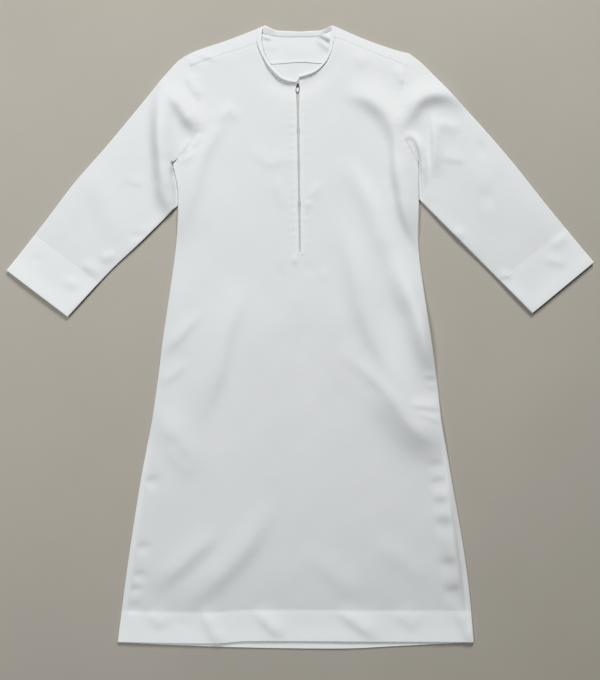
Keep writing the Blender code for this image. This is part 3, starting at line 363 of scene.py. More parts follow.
CUFF_STATIONS = [
    0, 0.3, 0.8, 1.6, 3, 5, 9, 15, 22, 30, 38, 46, 54, 62, 70, 78, 85, 91, 95,
    97.2, 98.4, 99.4, 100.4, 101.4, 102.6, 104, 106,
]


def side_points(rows, side):
    """The (x, down) points of one side of a table, x negative on the left."""
    if side == "left":
        return np.array([(-row.left_out, row.left_down) for row in rows], float)
    return np.array([(row.right_out, row.right_down) for row in rows], float)


def sign(side):
    return -1 if side == "left" else 1


def smooth(points, per_span=12):
    """A fine polyline on the Catmull-Rom curve through the points: a cubic in each span."""
    points = np.asarray(points, float)
    ends = np.vstack([2 * points[0] - points[1], points, 2 * points[-1] - points[-2]])
    t = np.linspace(0, 1, per_span, endpoint=False)[:, None]
    spans = []
    for a, b, c, d in zip(ends, ends[1:], ends[2:], ends[3:]):
        bend, twist = 2 * a - 5 * b + 4 * c - d, 3 * b - a - 3 * c + d
        spans.append(b + (c - a) * t / 2 + bend * t**2 / 2 + twist * t**3 / 2)
    return np.vstack(spans + [points[-1:]])


def run(points):
    """Distance along a polyline at each of its points."""
    return np.concatenate([[0], np.cumsum(np.linalg.norm(np.diff(points, axis=0), axis=1))])


def at(points, distances):
    """Points at the given distances along a polyline."""
    along = run(points)
    return np.column_stack([np.interp(distances, along, column) for column in points.T])


def even(points, cells):
    return at(points, np.linspace(0, run(points)[-1], cells + 1))


def chain(*stretches):
    """Stretches joined end to end, each starting on the last one's end."""
    return np.vstack([stretches[0]] + [stretch[1:] for stretch in stretches[1:]])


def step_in(value, low, high):
    """0 below low, 1 above high, and a smooth ease between."""
    t = np.clip((value - low) / (high - low), 0, 1)
    return t * t * (3 - 2 * t)


def bell(distance, width):
    """1 at no distance, falling as a Gaussian of the given half width."""
    return np.exp(-((distance / width) ** 2))


def rounding(distance, radius):
    """0 at an edge, rising as a quarter circle to 1 at the radius from it."""
    return np.sqrt(1 - (1 - np.clip(distance / radius, 0, 1)) ** 2)


def to_polyline(points, line):
    """For each point: distance to the polyline, side of it (+1 on its left hand), distance along it."""
    best = np.full(len(points), np.inf)
    side = np.ones(len(points))
    where = np.zeros(len(points))
    starts = run(line)
    for start, length, a, b in zip(starts, np.diff(starts), line, line[1:]):
        along = b - a
        t = np.clip((points - a) @ along / (along @ along), 0, 1)
        gap = points - a - t[:, None] * along
        distance = np.hypot(gap[:, 0], gap[:, 1])
        nearer = distance < best
        cross = along[1] * gap[:, 0] - along[0] * gap[:, 1]
        best[nearer] = distance[nearer]
        side[nearer] = np.where(cross[nearer] >= 0, 1, -1)
        where[nearer] = start + t[nearer] * length
    return best, side, where


def distance_to(points, lines):
    return np.min([to_polyline(points, line)[0] for line in lines], axis=0)


def side_edge(side):
    """The body's side seam from the underarm to the hem."""
    return smooth([(sign(side) * getattr(row, side), row.down) for row in SIDE])


def side_x(side, down):
    return sign(side) * np.interp(down, [row.down for row in SIDE], [getattr(row, side) for row in SIDE])


def cut_down(line, down):
    """The part of a line, which runs down, that lies above a level, and the part below it."""
    x = np.interp(down, line[:, 1], line[:, 0])
    above, below = line[line[:, 1] < down], line[line[:, 1] > down]
    return np.vstack([above, [(x, down)]]), np.vstack([[(x, down)], below])


def armhole(side):
    return chain(smooth(side_points(ARMHOLE_UNDER, side)), smooth(side_points(ARMHOLE_FRONT, side)))


def centre_x(down):
    """The centre front line: the zip leans a little, and the line comes back to the middle below it."""
    downs = [NECK_AT_ZIP_DOWN["right"], ZIP_END_DOWN, SIDE[-1].down]
    return np.interp(down, downs, [ZIP_TOP_X, ZIP_END_X, 0])


def slit_half(down):
    """Half the gap between the facings: wider under the slider, and where the cloth gapes at two places."""
    downs = [SLIT_TOP_DOWN, SLIT_TOP_DOWN + SLIT_TAPER, ZIP_END_DOWN]
    half = np.interp(down, downs, [SLIT_HALF_TOP, SLIT_HALF, SLIT_HALF_END])
    return half + sum(wide * bell(down - level, reach) for level, wide, reach in SLIT_GAPES)


def neck_line(side):
    """The front's neck seam, from the zip up to the yoke."""
    down = NECK_AT_ZIP_DOWN[side]
    start = [(centre_x(down) + sign(side) * slit_half(down), down)]
    return smooth(np.vstack([start, side_points(NECK_FRONT, side)]))


BODY_SIDES = {side: side_edge(side) for side in SIDES}
SHOULDERS = {side: smooth(side_points(SHOULDER, side)) for side in SIDES}
OUTERS = {side: smooth(side_points(SLEEVE_OUTER, side)) for side in SIDES}
LOWERS = {side: smooth(side_points(SLEEVE_LOWER, side)) for side in SIDES}
ARMHOLES = {side: armhole(side) for side in SIDES}
NECKS = {side: neck_line(side) for side in SIDES}
YOKES = {side: smooth(side_points(YOKE_SEAM, side)) for side in SIDES}
TUCKS = {side: cut_down(BODY_SIDES[side], SLEEVE_MEETS_SIDE[side])[0] for side in SIDES}
MOUTHS = {side: np.array([OUTERS[side][-1], LOWERS[side][-1]]) for side in SIDES}
HEM_LINE = smooth(HEM_FRONT)
BACK_HEM_LINE = smooth(HEM_BACK)
EDGES = [table[side] for table in (BODY_SIDES, SHOULDERS, OUTERS, LOWERS) for side in SIDES]


def puff(points):
    """How far the upper cloth stands off the lower: nothing at the edges, rounding to PUFF."""
    rise = 1 - (1 - np.clip(distance_to(points, EDGES) / PUFF_REACH, 0, 1)) ** 2
    openings = [np.array(HEM_FRONT, float), *MOUTHS.values()]
    near_opening = step_in(distance_to(points, openings), 0, HEM_PUFF_REACH)
    return PUFF * rise * (HEM_PUFF_SHARE + (1 - HEM_PUFF_SHARE) * near_opening)


def fold_heights(points, piece, table):
    """Sum of the folds of a table: a bell across each path, which eases in and out at its ends."""
    total = np.zeros(len(points))
    for fold in table:
        if fold.piece not in ("all", piece):
            continue
        line = smooth(fold.path, 6)
        reach = 3 * max(fold.lit, fold.shaded)
        near = np.all((points > line.min(0) - reach) & (points < line.max(0) + reach), axis=1)
        distance, side, where = to_polyline(points[near], line)
        width = np.where(side > 0, fold.lit, fold.shaded)
        share = where / run(line)[-1]
        along = step_in(np.minimum(share, 1 - share), 0, FOLD_END_SHARE)
        total[near] += fold.height * bell(distance, width) * along
    return total


def unevenness(points):
    """Slow waves that cross at several angles, as pressed cloth that has been handled still has."""
    x, down = points.T
    waves = (
        0.16 * np.sin(x / 19 + down / 41) * np.sin(down / 33 - x / 67)
        + 0.22 * np.sin(x / 37 - down / 53 + 1.3) * np.sin(down / 61 + 0.7)
        + 0.10 * np.sin(x / 11 + np.sin(down / 27)) * np.sin(down / 17 + np.sin(x / 31))
    )
    return waves


def tuck_lift(points):
    """How far the body is lifted by the sleeve that runs under its side seam."""
    return TUCK_LIFT * (1 - step_in(distance_to(points, TUCKS.values()), TUCK_FLAT, TUCK_FLAT + TUCK_FADE))


def beside_body(points, side):
    """How far a point of a sleeve lies from the side seam over it, and 0 under the body."""
    under = (points[:, 0] - side_x(side, points[:, 1])) * sign(side) < 0
    under &= points[:, 1] > UNDERARM_DOWN
    return np.where(under, 0, distance_to(points, [TUCKS[side]]))


def upper(points, piece):
    """Height of the outer face of the upper cloth, before its seams and hems."""
    rise = puff(points) + fold_heights(points, piece, FOLDS)
    rise = rise + fold_heights(points, piece, CREASES) + unevenness(points)
    rise = 0.5 * (rise + np.sqrt(rise**2 + SOFT_FLOOR**2))
    if not piece.startswith("sleeve"):
        return UPPER_BASE + rise + tuck_lift(points)
    lower_down = step_in(points[:, 1], UNDERARM_DOWN, UNDERARM_DOWN + SLEEVE_FADE_RUN)
    fade = SLEEVE_FADE_TOP + (SLEEVE_FADE - SLEEVE_FADE_TOP) * lower_down
    return UPPER_BASE + rise * step_in(beside_body(points, piece.split("_")[1]) / fade, 0, 1)


def from_centre(points):
    """How far points lie from the centre front line."""
    return np.abs(points[:, 0] - centre_x(points[:, 1]))


def in_facing(zip_gap):
    """1 on the facing beside the zip, and 0 past it."""
    return 1 - step_in(zip_gap, FACING + 1, FACING + 4)


def low_side(points):
    """1 on the lower skirt, where the side seam's allowance shows, and 0 above it."""
    return step_in(points[:, 1], SIDE_SEAM_FROM, SIDE_SEAM_FROM + SIDE_SEAM_FADE)


def pucker(points, line):
    """Small gathers along a seam: a sine along it whose pitch drifts, fading away from it."""
    distance, _, where = to_polyline(points, line)
    waves = np.sin(2 * np.pi * where / PUCKER_PITCH + 1.7 * np.sin(where / 23))
    return waves * distance / PUCKER_REACH * bell(distance, PUCKER_REACH)


def ladder(points, gap):
    """Small gathers beside the zip: a sine down it whose pitch drifts, in a bell beside its stitching."""
    x, down = points.T
    rungs = np.sin(2 * np.pi * down / LADDER_PITCH + 0.9 * np.sin(down / 47))
    rungs = rungs + 0.35 * np.sin(down / 4.1 + x / 9)
    uneven = np.where(x < centre_x(down), 1.0, 0.6) * (0.75 + 0.25 * np.sin(down / 31))
    return LADDER_RISE * rungs * uneven * bell(gap - LADDER_OUT, LADDER_REACH)


def seams(points):
    """What the seams take off a height: the cloth turns down into each, with small gathers beside it."""
    soft = [*ARMHOLES.values(), *YOKES.values()]
    drop = SEAM_DROP * bell(distance_to(points, NECKS.values()), SEAM_DROP_WIDTH)
    drop += SOFT_SEAM_DROP * bell(distance_to(points, soft), SEAM_DROP_WIDTH)
    return drop - sum(PUCKER_RISE * pucker(points, line) for line in ARMHOLES.values())


def hem_lift(points, hem):
    """How far a hem's edge stands off the floor, more in some places than others."""
    return HEM_LIFT * bell(hem, HEM_LIFT_REACH) * (0.8 + 0.2 * np.sin(points[:, 0] / 43))


def front_face(points):
    """Height of the front's outer face, with its hem, seams and zip facing."""
    side = distance_to(points, BODY_SIDES.values())
    hem = distance_to(points, [HEM_LINE])
    height = upper(points, "front") - seams(points)
    height += HEM_RISE * (1 - step_in(hem, BODY_HEM + HEM_STEP[0], BODY_HEM + HEM_STEP[1]))
    height -= HEM_STITCH_DROP * bell(hem - BODY_HEM + STITCH_IN, STITCH_DROP_WIDTH)
    low = low_side(points)
    height += low * (SIDE_SEAM_RISE * (1 - step_in(side, SIDE_SEAM_IN, SIDE_SEAM_IN + SIDE_SEAM_STEP)))
    height -= low * SIDE_SEAM_DROP * bell(side - SIDE_SEAM_IN, SIDE_SEAM_WIDTH)
    zip_gap = from_centre(points)
    beside_zip = 1 - step_in(points[:, 1] - ZIP_END_DOWN, *FACING_FADE)
    height += beside_zip * FACING_RISE * in_facing(zip_gap)
    height -= beside_zip * STITCH_DROP * bell(zip_gap - FACING, STITCH_DROP_WIDTH)
    height += beside_zip * ladder(points, zip_gap)
    slit = zip_gap - slit_half(points[:, 1])
    height -= beside_zip * EDGE_DROP * (1 - rounding(slit, HEM_ROUND))
    height -= EDGE_DROP * (1 - rounding(hem, HEM_ROUND))
    height += hem_lift(points, hem)
    meets = tuck_lift(points) + SIDE_MEETS
    return meets + (height - meets) * rounding(side, SIDE_ROUND)


def patch(inner, outer, bottom, top, ease=1):
    """Coons patch: the blend of the two pairs of edges, less the blend of the four corners."""
    u = run(bottom) / run(bottom)[-1]
    middle = (inner + outer) / 2
    v = (run(middle) / run(middle)[-1])[:, None, None] ** ease
    u = u[None, :, None]
    across = (1 - u) * inner[:, None] + u * outer[:, None]
    along = (1 - v) * bottom[None] + v * top[None]
    corners = (1 - v) * ((1 - u) * bottom[0] + u * bottom[-1]) + v * ((1 - u) * top[0] + u * top[-1])
    return across + along - corners


def spaced(length, start, cells, end):
    """Distances along a length: close ones at its start and its end, and a number of even cells between.

    start and end list distances from that end of the length, growing.
    """
    end = length - np.array(end, float)[::-1]
    return np.concatenate([start, np.linspace(start[-1], end[0], cells + 1)[1:-1], end])


def cells_of(length, start, step, end):
    """How many cells of about one step fit between the close stations."""
    return int(round((length - end[-1] - start[-1]) / step))


def quads_of(index):
    """The cells of an array of point numbers, rows by columns, four numbers to a cell."""
    corners = [index[:-1, :-1], index[:-1, 1:], index[1:, 1:], index[1:, :-1]]
    return np.stack(corners, axis=-1).reshape(-1, 4)


def closed(index):
    """An array of point numbers whose rows come round to their first point again."""
    return np.concatenate([index, index[:, :1]], axis=1)


def flat_uv(points):
    """The cloth's own coordinates in metres, for a piece that is cut straight in the table's axes."""
    return points[:, :2] * [MM, -MM]


def to_metres(points):
    """Table places (x, down, z) in millimetres to the model's own metres."""
    points = np.asarray(points, float)
    return np.column_stack([points[:, 0] + BODY_X, TOP_Y - points[:, 1], points[:, 2]]) * MM


def normals_of(points, quads):
    """Unit normal at each point: the mean of the cells round it, by area."""
    a, b, c, d = (points[quads[:, k]] for k in range(4))
    cell = np.cross(c - a, d - b)
    total = np.zeros_like(points)
    for k in range(3):
        for corner in range(4):
            total[:, k] += np.bincount(quads[:, corner], cell[:, k], len(points))
    return total / np.maximum(np.linalg.norm(total, axis=1), 1e-12)[:, None]


def add_piece(name, points, faces, material, body="garment", uv=None, layers=None, sharp=50):
    """A mesh object at the origin, in metres, turned outwards by its volume, riding on its body."""
    mesh = bpy.data.meshes.new(name)
    mesh.from_pydata(points.tolist(), [], faces if isinstance(faces, list) else faces.tolist())
    mesh.calc_loop_triangles()
    corners = np.empty(len(mesh.loop_triangles) * 3, np.int32)
    mesh.loop_triangles.foreach_get("vertices", corners)
    if np.linalg.det(points[corners.reshape(-1, 3)] - points.mean(0)).sum() < 0:
        mesh.flip_normals()
    loops = np.empty(len(mesh.loops), np.int32)
    mesh.loops.foreach_get("vertex_index", loops)
    uv = points[:, :2] if uv is None else uv
    mesh.uv_layers.new(name="cloth").data.foreach_set("uv", uv[loops].astype(np.float32).ravel())
    layers = np.ones(len(points)) if layers is None else layers
    mesh.attributes.new("layers", "FLOAT", "POINT").data.foreach_set("value", layers.astype(np.float32))
    mesh.shade_smooth()
    mesh.set_sharp_from_angle(angle=radians(sharp))
    mesh.materials.append(material)
    piece = bpy.data.objects.new(name, mesh)
    bpy.context.scene.collection.objects.link(piece)
    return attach(piece, body) or piece


def shell(name, outer, quads, thick, material, uv, layers):
    """Thin cloth: its outer face, that face moved in along its normals, and a rim round each free edge."""
    used, renumber = np.unique(quads, return_inverse=True)
    quads = renumber.reshape(quads.shape)
    outer, uv, layers = outer[used], uv[used], layers[used]
    thick = thick[used] if np.ndim(thick) else np.full(len(outer), float(thick))
    points = to_metres(outer)
    a, b, c, d = (points[quads[:, k]] for k in range(4))
    middle = (a + b + c + d) / 4 - [0, 0, 1.3 * MM]
    if np.einsum("ij,ij->", np.cross(c - a, d - b), middle * [0, 0, 1]) < 0:
        quads = quads[:, ::-1]
    inner = points - normals_of(points, quads) * thick[:, None] * MM
    count = len(points)
    start, end = quads.ravel(), np.roll(quads, -1, axis=1).ravel()
    free = ~np.isin(start * count + end, end * count + start)
    start, end = start[free], end[free]
    rim = np.column_stack([end, start, start + count, end + count])
    faces = np.vstack([quads, quads[:, ::-1] + count, rim])
    return add_piece(
        name, np.vstack([points, inner]), faces, material, uv=np.tile(uv, (2, 1)), layers=np.tile(layers, 2)
    )


def cut(line, start, cells, end):
    """A line cut at the stations that spaced gives."""
    return at(line, spaced(run(line)[-1], start, cells, end))


def shares_across(centre, step, side):
    """Shares of the half width: close columns at the centre and the side, and even ones between."""
    cells = cells_of(CHEST_HALF, centre, step, side)
    return spaced(CHEST_HALF, centre, cells, side) / CHEST_HALF


def hem_half(line, side, shares, centre):
    """The hem from the centre out to one side, cut at the shares."""
    half = line[line[:, 0] * sign(side) > centre[0] * sign(side)]
    half = half[np.argsort(half[:, 0] * sign(side))]
    half = np.vstack([centre, half])
    return at(half, shares * run(half)[-1])


def front_half(side):
    """(x, down) of one half of the front: rows from hem to yoke, columns from centre to side."""
    above, below = cut_down(BODY_SIDES[side], WAIST_DOWN_SIDE)
    outer = chain(
        cut(below[::-1], HEM_STATIONS, SKIRT_CELLS, [0]),
        even(above[::-1], WAIST_CELLS),
        cut(ARMHOLES[side], [0], CHEST_CELLS + NECK_CELLS, TOP_STATIONS),
    )
    down = NECK_AT_ZIP_DOWN[side]
    skirt = np.array([(centre_x(d), d) for d in (HEM_FRONT[3][1], ZIP_END_DOWN)])
    downs = np.append(
        np.linspace(ZIP_END_DOWN, UNDERARM_DOWN, WAIST_CELLS + 1),
        np.linspace(UNDERARM_DOWN, down, CHEST_CELLS + 1)[1:],
    )
    slit = np.column_stack([centre_x(downs) + sign(side) * slit_half(downs), downs])
    slit[0, 0] = centre_x(ZIP_END_DOWN)
    inner = chain(
        cut(skirt, HEM_STATIONS, SKIRT_CELLS, [0]), slit, cut(NECKS[side], [0], NECK_CELLS, TOP_STATIONS)
    )
    shares = shares_across(CENTRE_COLUMNS, COLUMN_STEP, SIDE_COLUMNS)
    bottom = hem_half(HEM_LINE, side, shares, inner[0])
    bottom[-1] = outer[0]
    top = at(YOKES[side], shares * run(YOKES[side])[-1])
    top[0], top[-1] = inner[-1], outer[-1]
    return patch(inner, outer, bottom, top)


def hem_layers(distance, depth):
    """1 where the turned-up hem doubles the cloth, and 0 past its depth."""
    return 1 - step_in(distance, depth - 1, depth + 1)


def hem_thickness(in_hem):
    return CLOTH + (HEM_THICK - CLOTH) * in_hem


def make_front(material):
    halves = {side: front_half(side) for side in SIDES}
    rows, columns = halves["left"].shape[:2]
    shared = len(HEM_STATIONS) + SKIRT_CELLS
    left = np.arange(rows * columns).reshape(rows, columns)
    right = left + rows * columns
    right[:shared, 0] = left[:shared, 0]
    flat = np.vstack([halves["left"].reshape(-1, 2), halves["right"].reshape(-1, 2)])
    height = front_face(flat)
    in_hem = hem_layers(distance_to(flat, [HEM_LINE]), BODY_HEM)
    beside_seam = 1 - step_in(distance_to(flat, BODY_SIDES.values()), *SEAM_ALLOWANCE)
    beside_zip = in_facing(from_centre(flat)) * (flat[:, 1] < ZIP_END_DOWN + FACING_BELOW)
    layers = np.maximum.reduce(
        [in_hem, SEAM_LAYERS * beside_seam * low_side(flat), FACING_LAYERS * beside_zip]
    )
    quads = np.vstack([quads_of(left[:, ::-1]), quads_of(right)])
    outer = np.column_stack([flat, height])
    return shell("front_cloth", outer, quads, hem_thickness(in_hem), material, flat_uv(flat), layers)


def back_seam(x):
    """The straight seam between back and yoke, a little higher in the middle."""
    left, right = (side_points(YOKE_SEAM, side)[-1] for side in SIDES)
    share = (x - left[0]) / (right[0] - left[0])
    level = left[1] + (right[1] - left[1]) * share - BACK_SEAM_RISE * 4 * share * (1 - share)
    return level - BACK_SEAM_WAVE * np.sin((x + 25) / 22) * bell(x, 90)


def back_half(side, shares):
    above, below = cut_down(BODY_SIDES[side], WAIST_DOWN_SIDE)
    outer = chain(
        cut(below[::-1], HEM_STATIONS, BACK_SKIRT_CELLS, [0]),
        even(chain(above[::-1], ARMHOLES[side]), BACK_WAIST_CELLS),
    )
    centre, low = HEM_BACK[3]
    waist = (centre, WAIST_DOWN_SIDE)
    inner = chain(
        cut(np.array([(centre, low), waist], float), HEM_STATIONS, BACK_SKIRT_CELLS, [0]),
        even(np.array([waist, (centre, back_seam(centre))], float), BACK_WAIST_CELLS),
    )
    bottom = hem_half(BACK_HEM_LINE, side, shares, inner[0])
    bottom[-1] = outer[0]
    top_x = centre + (outer[-1, 0] - centre) * shares
    top = np.column_stack([top_x, back_seam(top_x)])
    top[-1] = outer[-1]
    return patch(inner, outer, bottom, top)


def make_back(material):
    shares = shares_across([0], BACK_STEP, SIDE_COLUMNS[:8])
    left, right = back_half("left", shares), back_half("right", shares)
    grid = np.concatenate([left[:, ::-1], right[:, 1:]], axis=1)
    rows, columns = grid.shape[:2]
    flat = grid.reshape(-1, 2)
    side = distance_to(flat, BODY_SIDES.values())
    hem = distance_to(flat, [BACK_HEM_LINE])
    in_hem = hem_layers(hem, BODY_HEM)
    lift = tuck_lift(flat) + fold_heights(flat, "back", UNDER_CREASES)
    lift += BACK_SIDE_RISE * (1 - rounding(side, SIDE_ROUND))
    lift += BACK_HEM_RISE * (1 - rounding(hem, HEM_ROUND))
    lift += hem_lift(flat, hem)
    outer = np.column_stack([flat, lift])
    quads = quads_of(np.arange(rows * columns).reshape(rows, columns))
    return shell("back_cloth", outer, quads, hem_thickness(in_hem), material, flat_uv(flat), in_hem)


def toward(points, target, distance):
    """Points moved a distance towards others."""
    step = target - points
    return points + step / np.linalg.norm(step, axis=-1, keepdims=True) * distance


def neck_behind():
    """The neck's edge behind, from one shoulder to the other."""
    ends = [side_points(SHOULDER, side)[:1] for side in SIDES]
    return smooth(np.vstack([ends[0], NECK_BACK, ends[1]]))


def yoke_behind():
    """Columns of the yoke behind the neck, from the back seam up to the neck's edge."""
    middle = even(neck_behind(), YOKE_NECK_CELLS)[1:-1]
    low = np.column_stack([middle[:, 0], back_seam(middle[:, 0]) - SEAM_GAP])
    length = np.linalg.norm(middle - low, axis=1)
    stations = np.append(YOKE_ROWS, np.ones(len(YOKE_CLOSE)))[None] * (length[:, None] - YOKE_CLOSE[-1])
    stations[:, len(YOKE_ROWS) :] += YOKE_CLOSE[-1] - np.append(YOKE_CLOSE[::-1][1:], 0)
    made = low[:, None] + (middle - low)[:, None] / length[:, None, None] * stations[..., None]
    heights = 0.15 * np.sin(made[..., 0] / 13) * np.sin(made[..., 1] / 9) + 0.15
    heights += YOKE_STEP * bell(stations, YOKE_STEP_REACH)
    heights += fold_heights(made.reshape(-1, 2), "neck_back", NECK_FOLDS).reshape(heights.shape)
    return [np.column_stack([flat, z]) for flat, z in zip(made, heights)]


def yoke_side(side):
    """Columns of the yoke's one side, from the back seam up, over the shoulder, down to the front seam."""
    shares = shares_across(CENTRE_COLUMNS, COLUMN_STEP, SIDE_COLUMNS)
    fold = at(SHOULDERS[side], shares * run(SHOULDERS[side])[-1])
    seam = at(YOKES[side], shares * run(YOKES[side])[-1])
    seam[:, 1] -= SEAM_GAP
    low_x = fold[0, 0] + (seam[-1, 0] - fold[0, 0]) * shares
    low = np.column_stack([low_x, back_seam(low_x) - SEAM_GAP])
    low[-1] = seam[-1]
    flats, gaps = [], []
    for start, top, end in zip(low, fold, seam):
        length, width = np.linalg.norm(top - start), np.linalg.norm(end - top)
        under = np.append(YOKE_ROWS * (length - YOKE_CLOSE[-1]), length - YOKE_CLOSE[::-1])
        over = spaced(width, [0, *YOKE_CLOSE], YOKE_OVER_CELLS, YOKE_SEAM_STATIONS)
        below = start + (top - start) * under[:, None] / length
        above = top + (end - top) * over[:, None] / width
        flats.append(np.vstack([below, above]))
        gaps.append(np.append(length - under, over))
    flats, gaps = np.array(flats), np.array(gaps)
    lower_rows = len(YOKE_ROWS) + len(YOKE_CLOSE)
    full = (upper(flats.reshape(-1, 2), "yoke") - seams(flats.reshape(-1, 2))).reshape(gaps.shape)
    middle = full[:, lower_rows, None] / 2
    reach = np.where(np.arange(gaps.shape[1]) < lower_rows, -middle, full - middle)
    z = middle + reach * rounding(gaps, EDGE_ROUND)
    return list(np.concatenate([flats, z[..., None]], axis=2))


def make_yoke(material):
    """One plate: flat underneath, folded over each shoulder, its columns strung from left to right."""
    columns = yoke_side("left")[::-1] + yoke_behind() + yoke_side("right")
    starts = np.concatenate([[0], np.cumsum([len(column) for column in columns])])
    quads = []
    for k in range(len(columns) - 1):
        cells = np.arange(min(len(columns[k]), len(columns[k + 1])))
        quads.append(quads_of(np.array([starts[k] + cells, starts[k + 1] + cells])))
    outer = np.vstack(columns)
    layers = np.full(len(outer), YOKE_LAYERS)
    return shell("yoke_cloth", outer, np.vstack(quads), YOKE_THICK, material, flat_uv(outer), layers)


def sleeve_flat(side):
    """(x, down) of the flat sleeve: rows from the body to the mouth, columns from its fold to its seam."""
    hole = ARMHOLES[side][::-1]
    split = np.argmin(np.abs(hole[:, 1] - ARMHOLE_FRONT[0].left_down))
    shoulder = side_points(SHOULDER, side)[-1:]
    head_line, under_line = np.vstack([shoulder, hole[: split + 1]]), hole[split:]
    length = run(head_line)[-1]
    cells = cells_of(length, EDGE_COLUMNS, SLEEVE_COLUMN_STEP, EDGE_COLUMNS)
    head = cut(head_line, EDGE_COLUMNS, cells, EDGE_COLUMNS)
    under = even(under_line, HEAD_CELLS)
    share = np.linspace(0, 1, TUCK_CELLS + 1)[1:]
    downs = UNDERARM_DOWN + share * (SLEEVE_MEETS_SIDE[side] - TUCK - UNDERARM_DOWN)
    tuck = np.column_stack([side_x(side, downs) - sign(side) * TUCK * share, downs])
    free = np.vstack([tuck[-1:], LOWERS[side][1:]])
    fold = np.vstack([head[:1], OUTERS[side][1:]])

    lower = chain(under, np.vstack([under[-1:], tuck]), cut(free, [0], ARM_CELLS, CUFF_STATIONS))
    beside = at(fold, np.append(
        np.linspace(0, SLEEVE_HEAD, HEAD_CELLS + 1),
        np.linspace(SLEEVE_HEAD, SLEEVE_TUCKED, TUCK_CELLS + 1)[1:],
    ))
    outer = chain(beside, cut(fold, [SLEEVE_TUCKED], ARM_CELLS, CUFF_STATIONS))
    mouth_line = np.array([outer[-1], lower[-1]])
    mouth = at(mouth_line, run(head) / length * run(mouth_line)[-1])
    return patch(outer, lower, head, mouth, HEAD_EASE)


def sleeve_faces(flat, side, fold_gap, seam_gap, mouth):
    """Heights of the sleeve's upper and lower face, which meet in a half round at fold and seam."""
    name = f"sleeve_{side}"
    top = upper(flat, name) - seams(flat)
    top += 0.5 * HEM_RISE * hem_layers(mouth, SLEEVE_HEM)
    top -= HEM_STITCH_DROP * bell(mouth - SLEEVE_HEM + STITCH_IN, STITCH_DROP_WIDTH)
    top -= MOUTH_DROP * (1 - rounding(mouth, MOUTH_ROUND))
    low = fold_heights(flat, name, UNDER_CREASES) + MOUTH_RISE * (1 - rounding(mouth, MOUTH_ROUND))
    clear = step_in(beside_body(flat, side), *LIFT_CLEARS)
    lift = clear * EDGE_LIFT * bell(seam_gap, EDGE_LIFT_REACH) * (0.75 + 0.25 * np.sin(flat[:, 1] / 23))
    lift = np.maximum(lift, MOUTH_LIFT * bell(mouth, MOUTH_LIFT_REACH))
    top, low = top + lift, low + LIFT_UNDER * lift
    mid = (top + low) / 2
    open_up = rounding(np.minimum(fold_gap, seam_gap), SLEEVE_ROUND)
    return mid + (top - mid) * open_up, mid - (mid - low) * open_up


def make_sleeve(side, material):
    """A flattened tube of thin cloth, open at the armhole and at the mouth."""
    grid = sleeve_flat(side)
    rows, columns = grid.shape[:2]
    flat = grid.reshape(-1, 2)
    across = np.linalg.norm(np.diff(grid, axis=1), axis=2)
    from_fold = np.concatenate([np.zeros((rows, 1)), np.cumsum(across, axis=1)], axis=1)
    from_seam = from_fold[:, -1:] - from_fold
    from_seam[:HEAD_CELLS] = NO_EDGE
    mouth = distance_to(flat, [MOUTHS[side]])
    top, low = sleeve_faces(flat, side, from_fold.ravel(), from_seam.ravel(), mouth)
    count = rows * columns
    upper_index = np.arange(count).reshape(rows, columns)
    lower_index = upper_index + count
    lower_index[:, 0] = upper_index[:, 0]
    lower_index[HEAD_CELLS:, -1] = upper_index[HEAD_CELLS:, -1]
    outer = np.vstack([np.column_stack([flat, top]), np.column_stack([flat, low])])
    quads = np.vstack([quads_of(upper_index), quads_of(lower_index)[:, ::-1]])
    in_hem = SLEEVE_HEM_LAYERS * np.tile(hem_layers(mouth, SLEEVE_HEM), 2)
    axis = MOUTHS[side].mean(0) - side_points(SHOULDER, side)[-1]
    axis /= np.linalg.norm(axis)
    uv = np.tile(np.column_stack([flat @ [axis[1], -axis[0]], flat @ axis]) * MM, (2, 1))
    return shell(f"sleeve_{side}_cloth", outer, quads, hem_thickness(in_hem), material, uv, in_hem)


def cuff_line(side):
    """The stitched line across a sleeve that holds its hem, from the fold to the seam."""
    ends = []
    for line in (OUTERS[side], LOWERS[side]):
        gap = distance_to(line, [MOUTHS[side]])[::-1]
        ends.append([np.interp(SLEEVE_HEM - STITCH_IN, gap, line[::-1, k]) for k in (0, 1)])
    return np.linspace(*ends, 40)[1:-1]


def cuff_top(places, side):
    """Height of a sleeve's upper face at places near its hem."""
    gaps = [distance_to(places, [line]) for line in (OUTERS[side], LOWERS[side], MOUTHS[side])]
    return sleeve_faces(places, side, *gaps)[0]


def neck_stations():
    """The neck seam at the solids' own stations: front, folded shoulder, back of the neck, and round."""
    ends = {}
    for side in SIDES:
        front = even(NECKS[side], NECK_CELLS_CAD)
        heights = upper(front, "front")
        shoulder = side_points(SHOULDER, side)[0]
        seam = front[-1] - [0, SEAM_GAP]
        rounded = toward(shoulder, seam, EDGE_ROUND)
        strip = np.array([(rounded + seam) / 2, rounded])
        over = upper(strip, "yoke")
        ends[side] = np.vstack([
            np.column_stack([front, heights]),
            np.column_stack([strip, over]),
            [np.append(shoulder, over[1] / 2), np.append(rounded, 0)],
        ])
    middle = even(neck_behind(), NECK_BACK_CELLS_CAD)[1:-1]
    return np.vstack([ends["left"], np.column_stack([middle, 0 * middle[:, 0]]), ends["right"][::-1]])


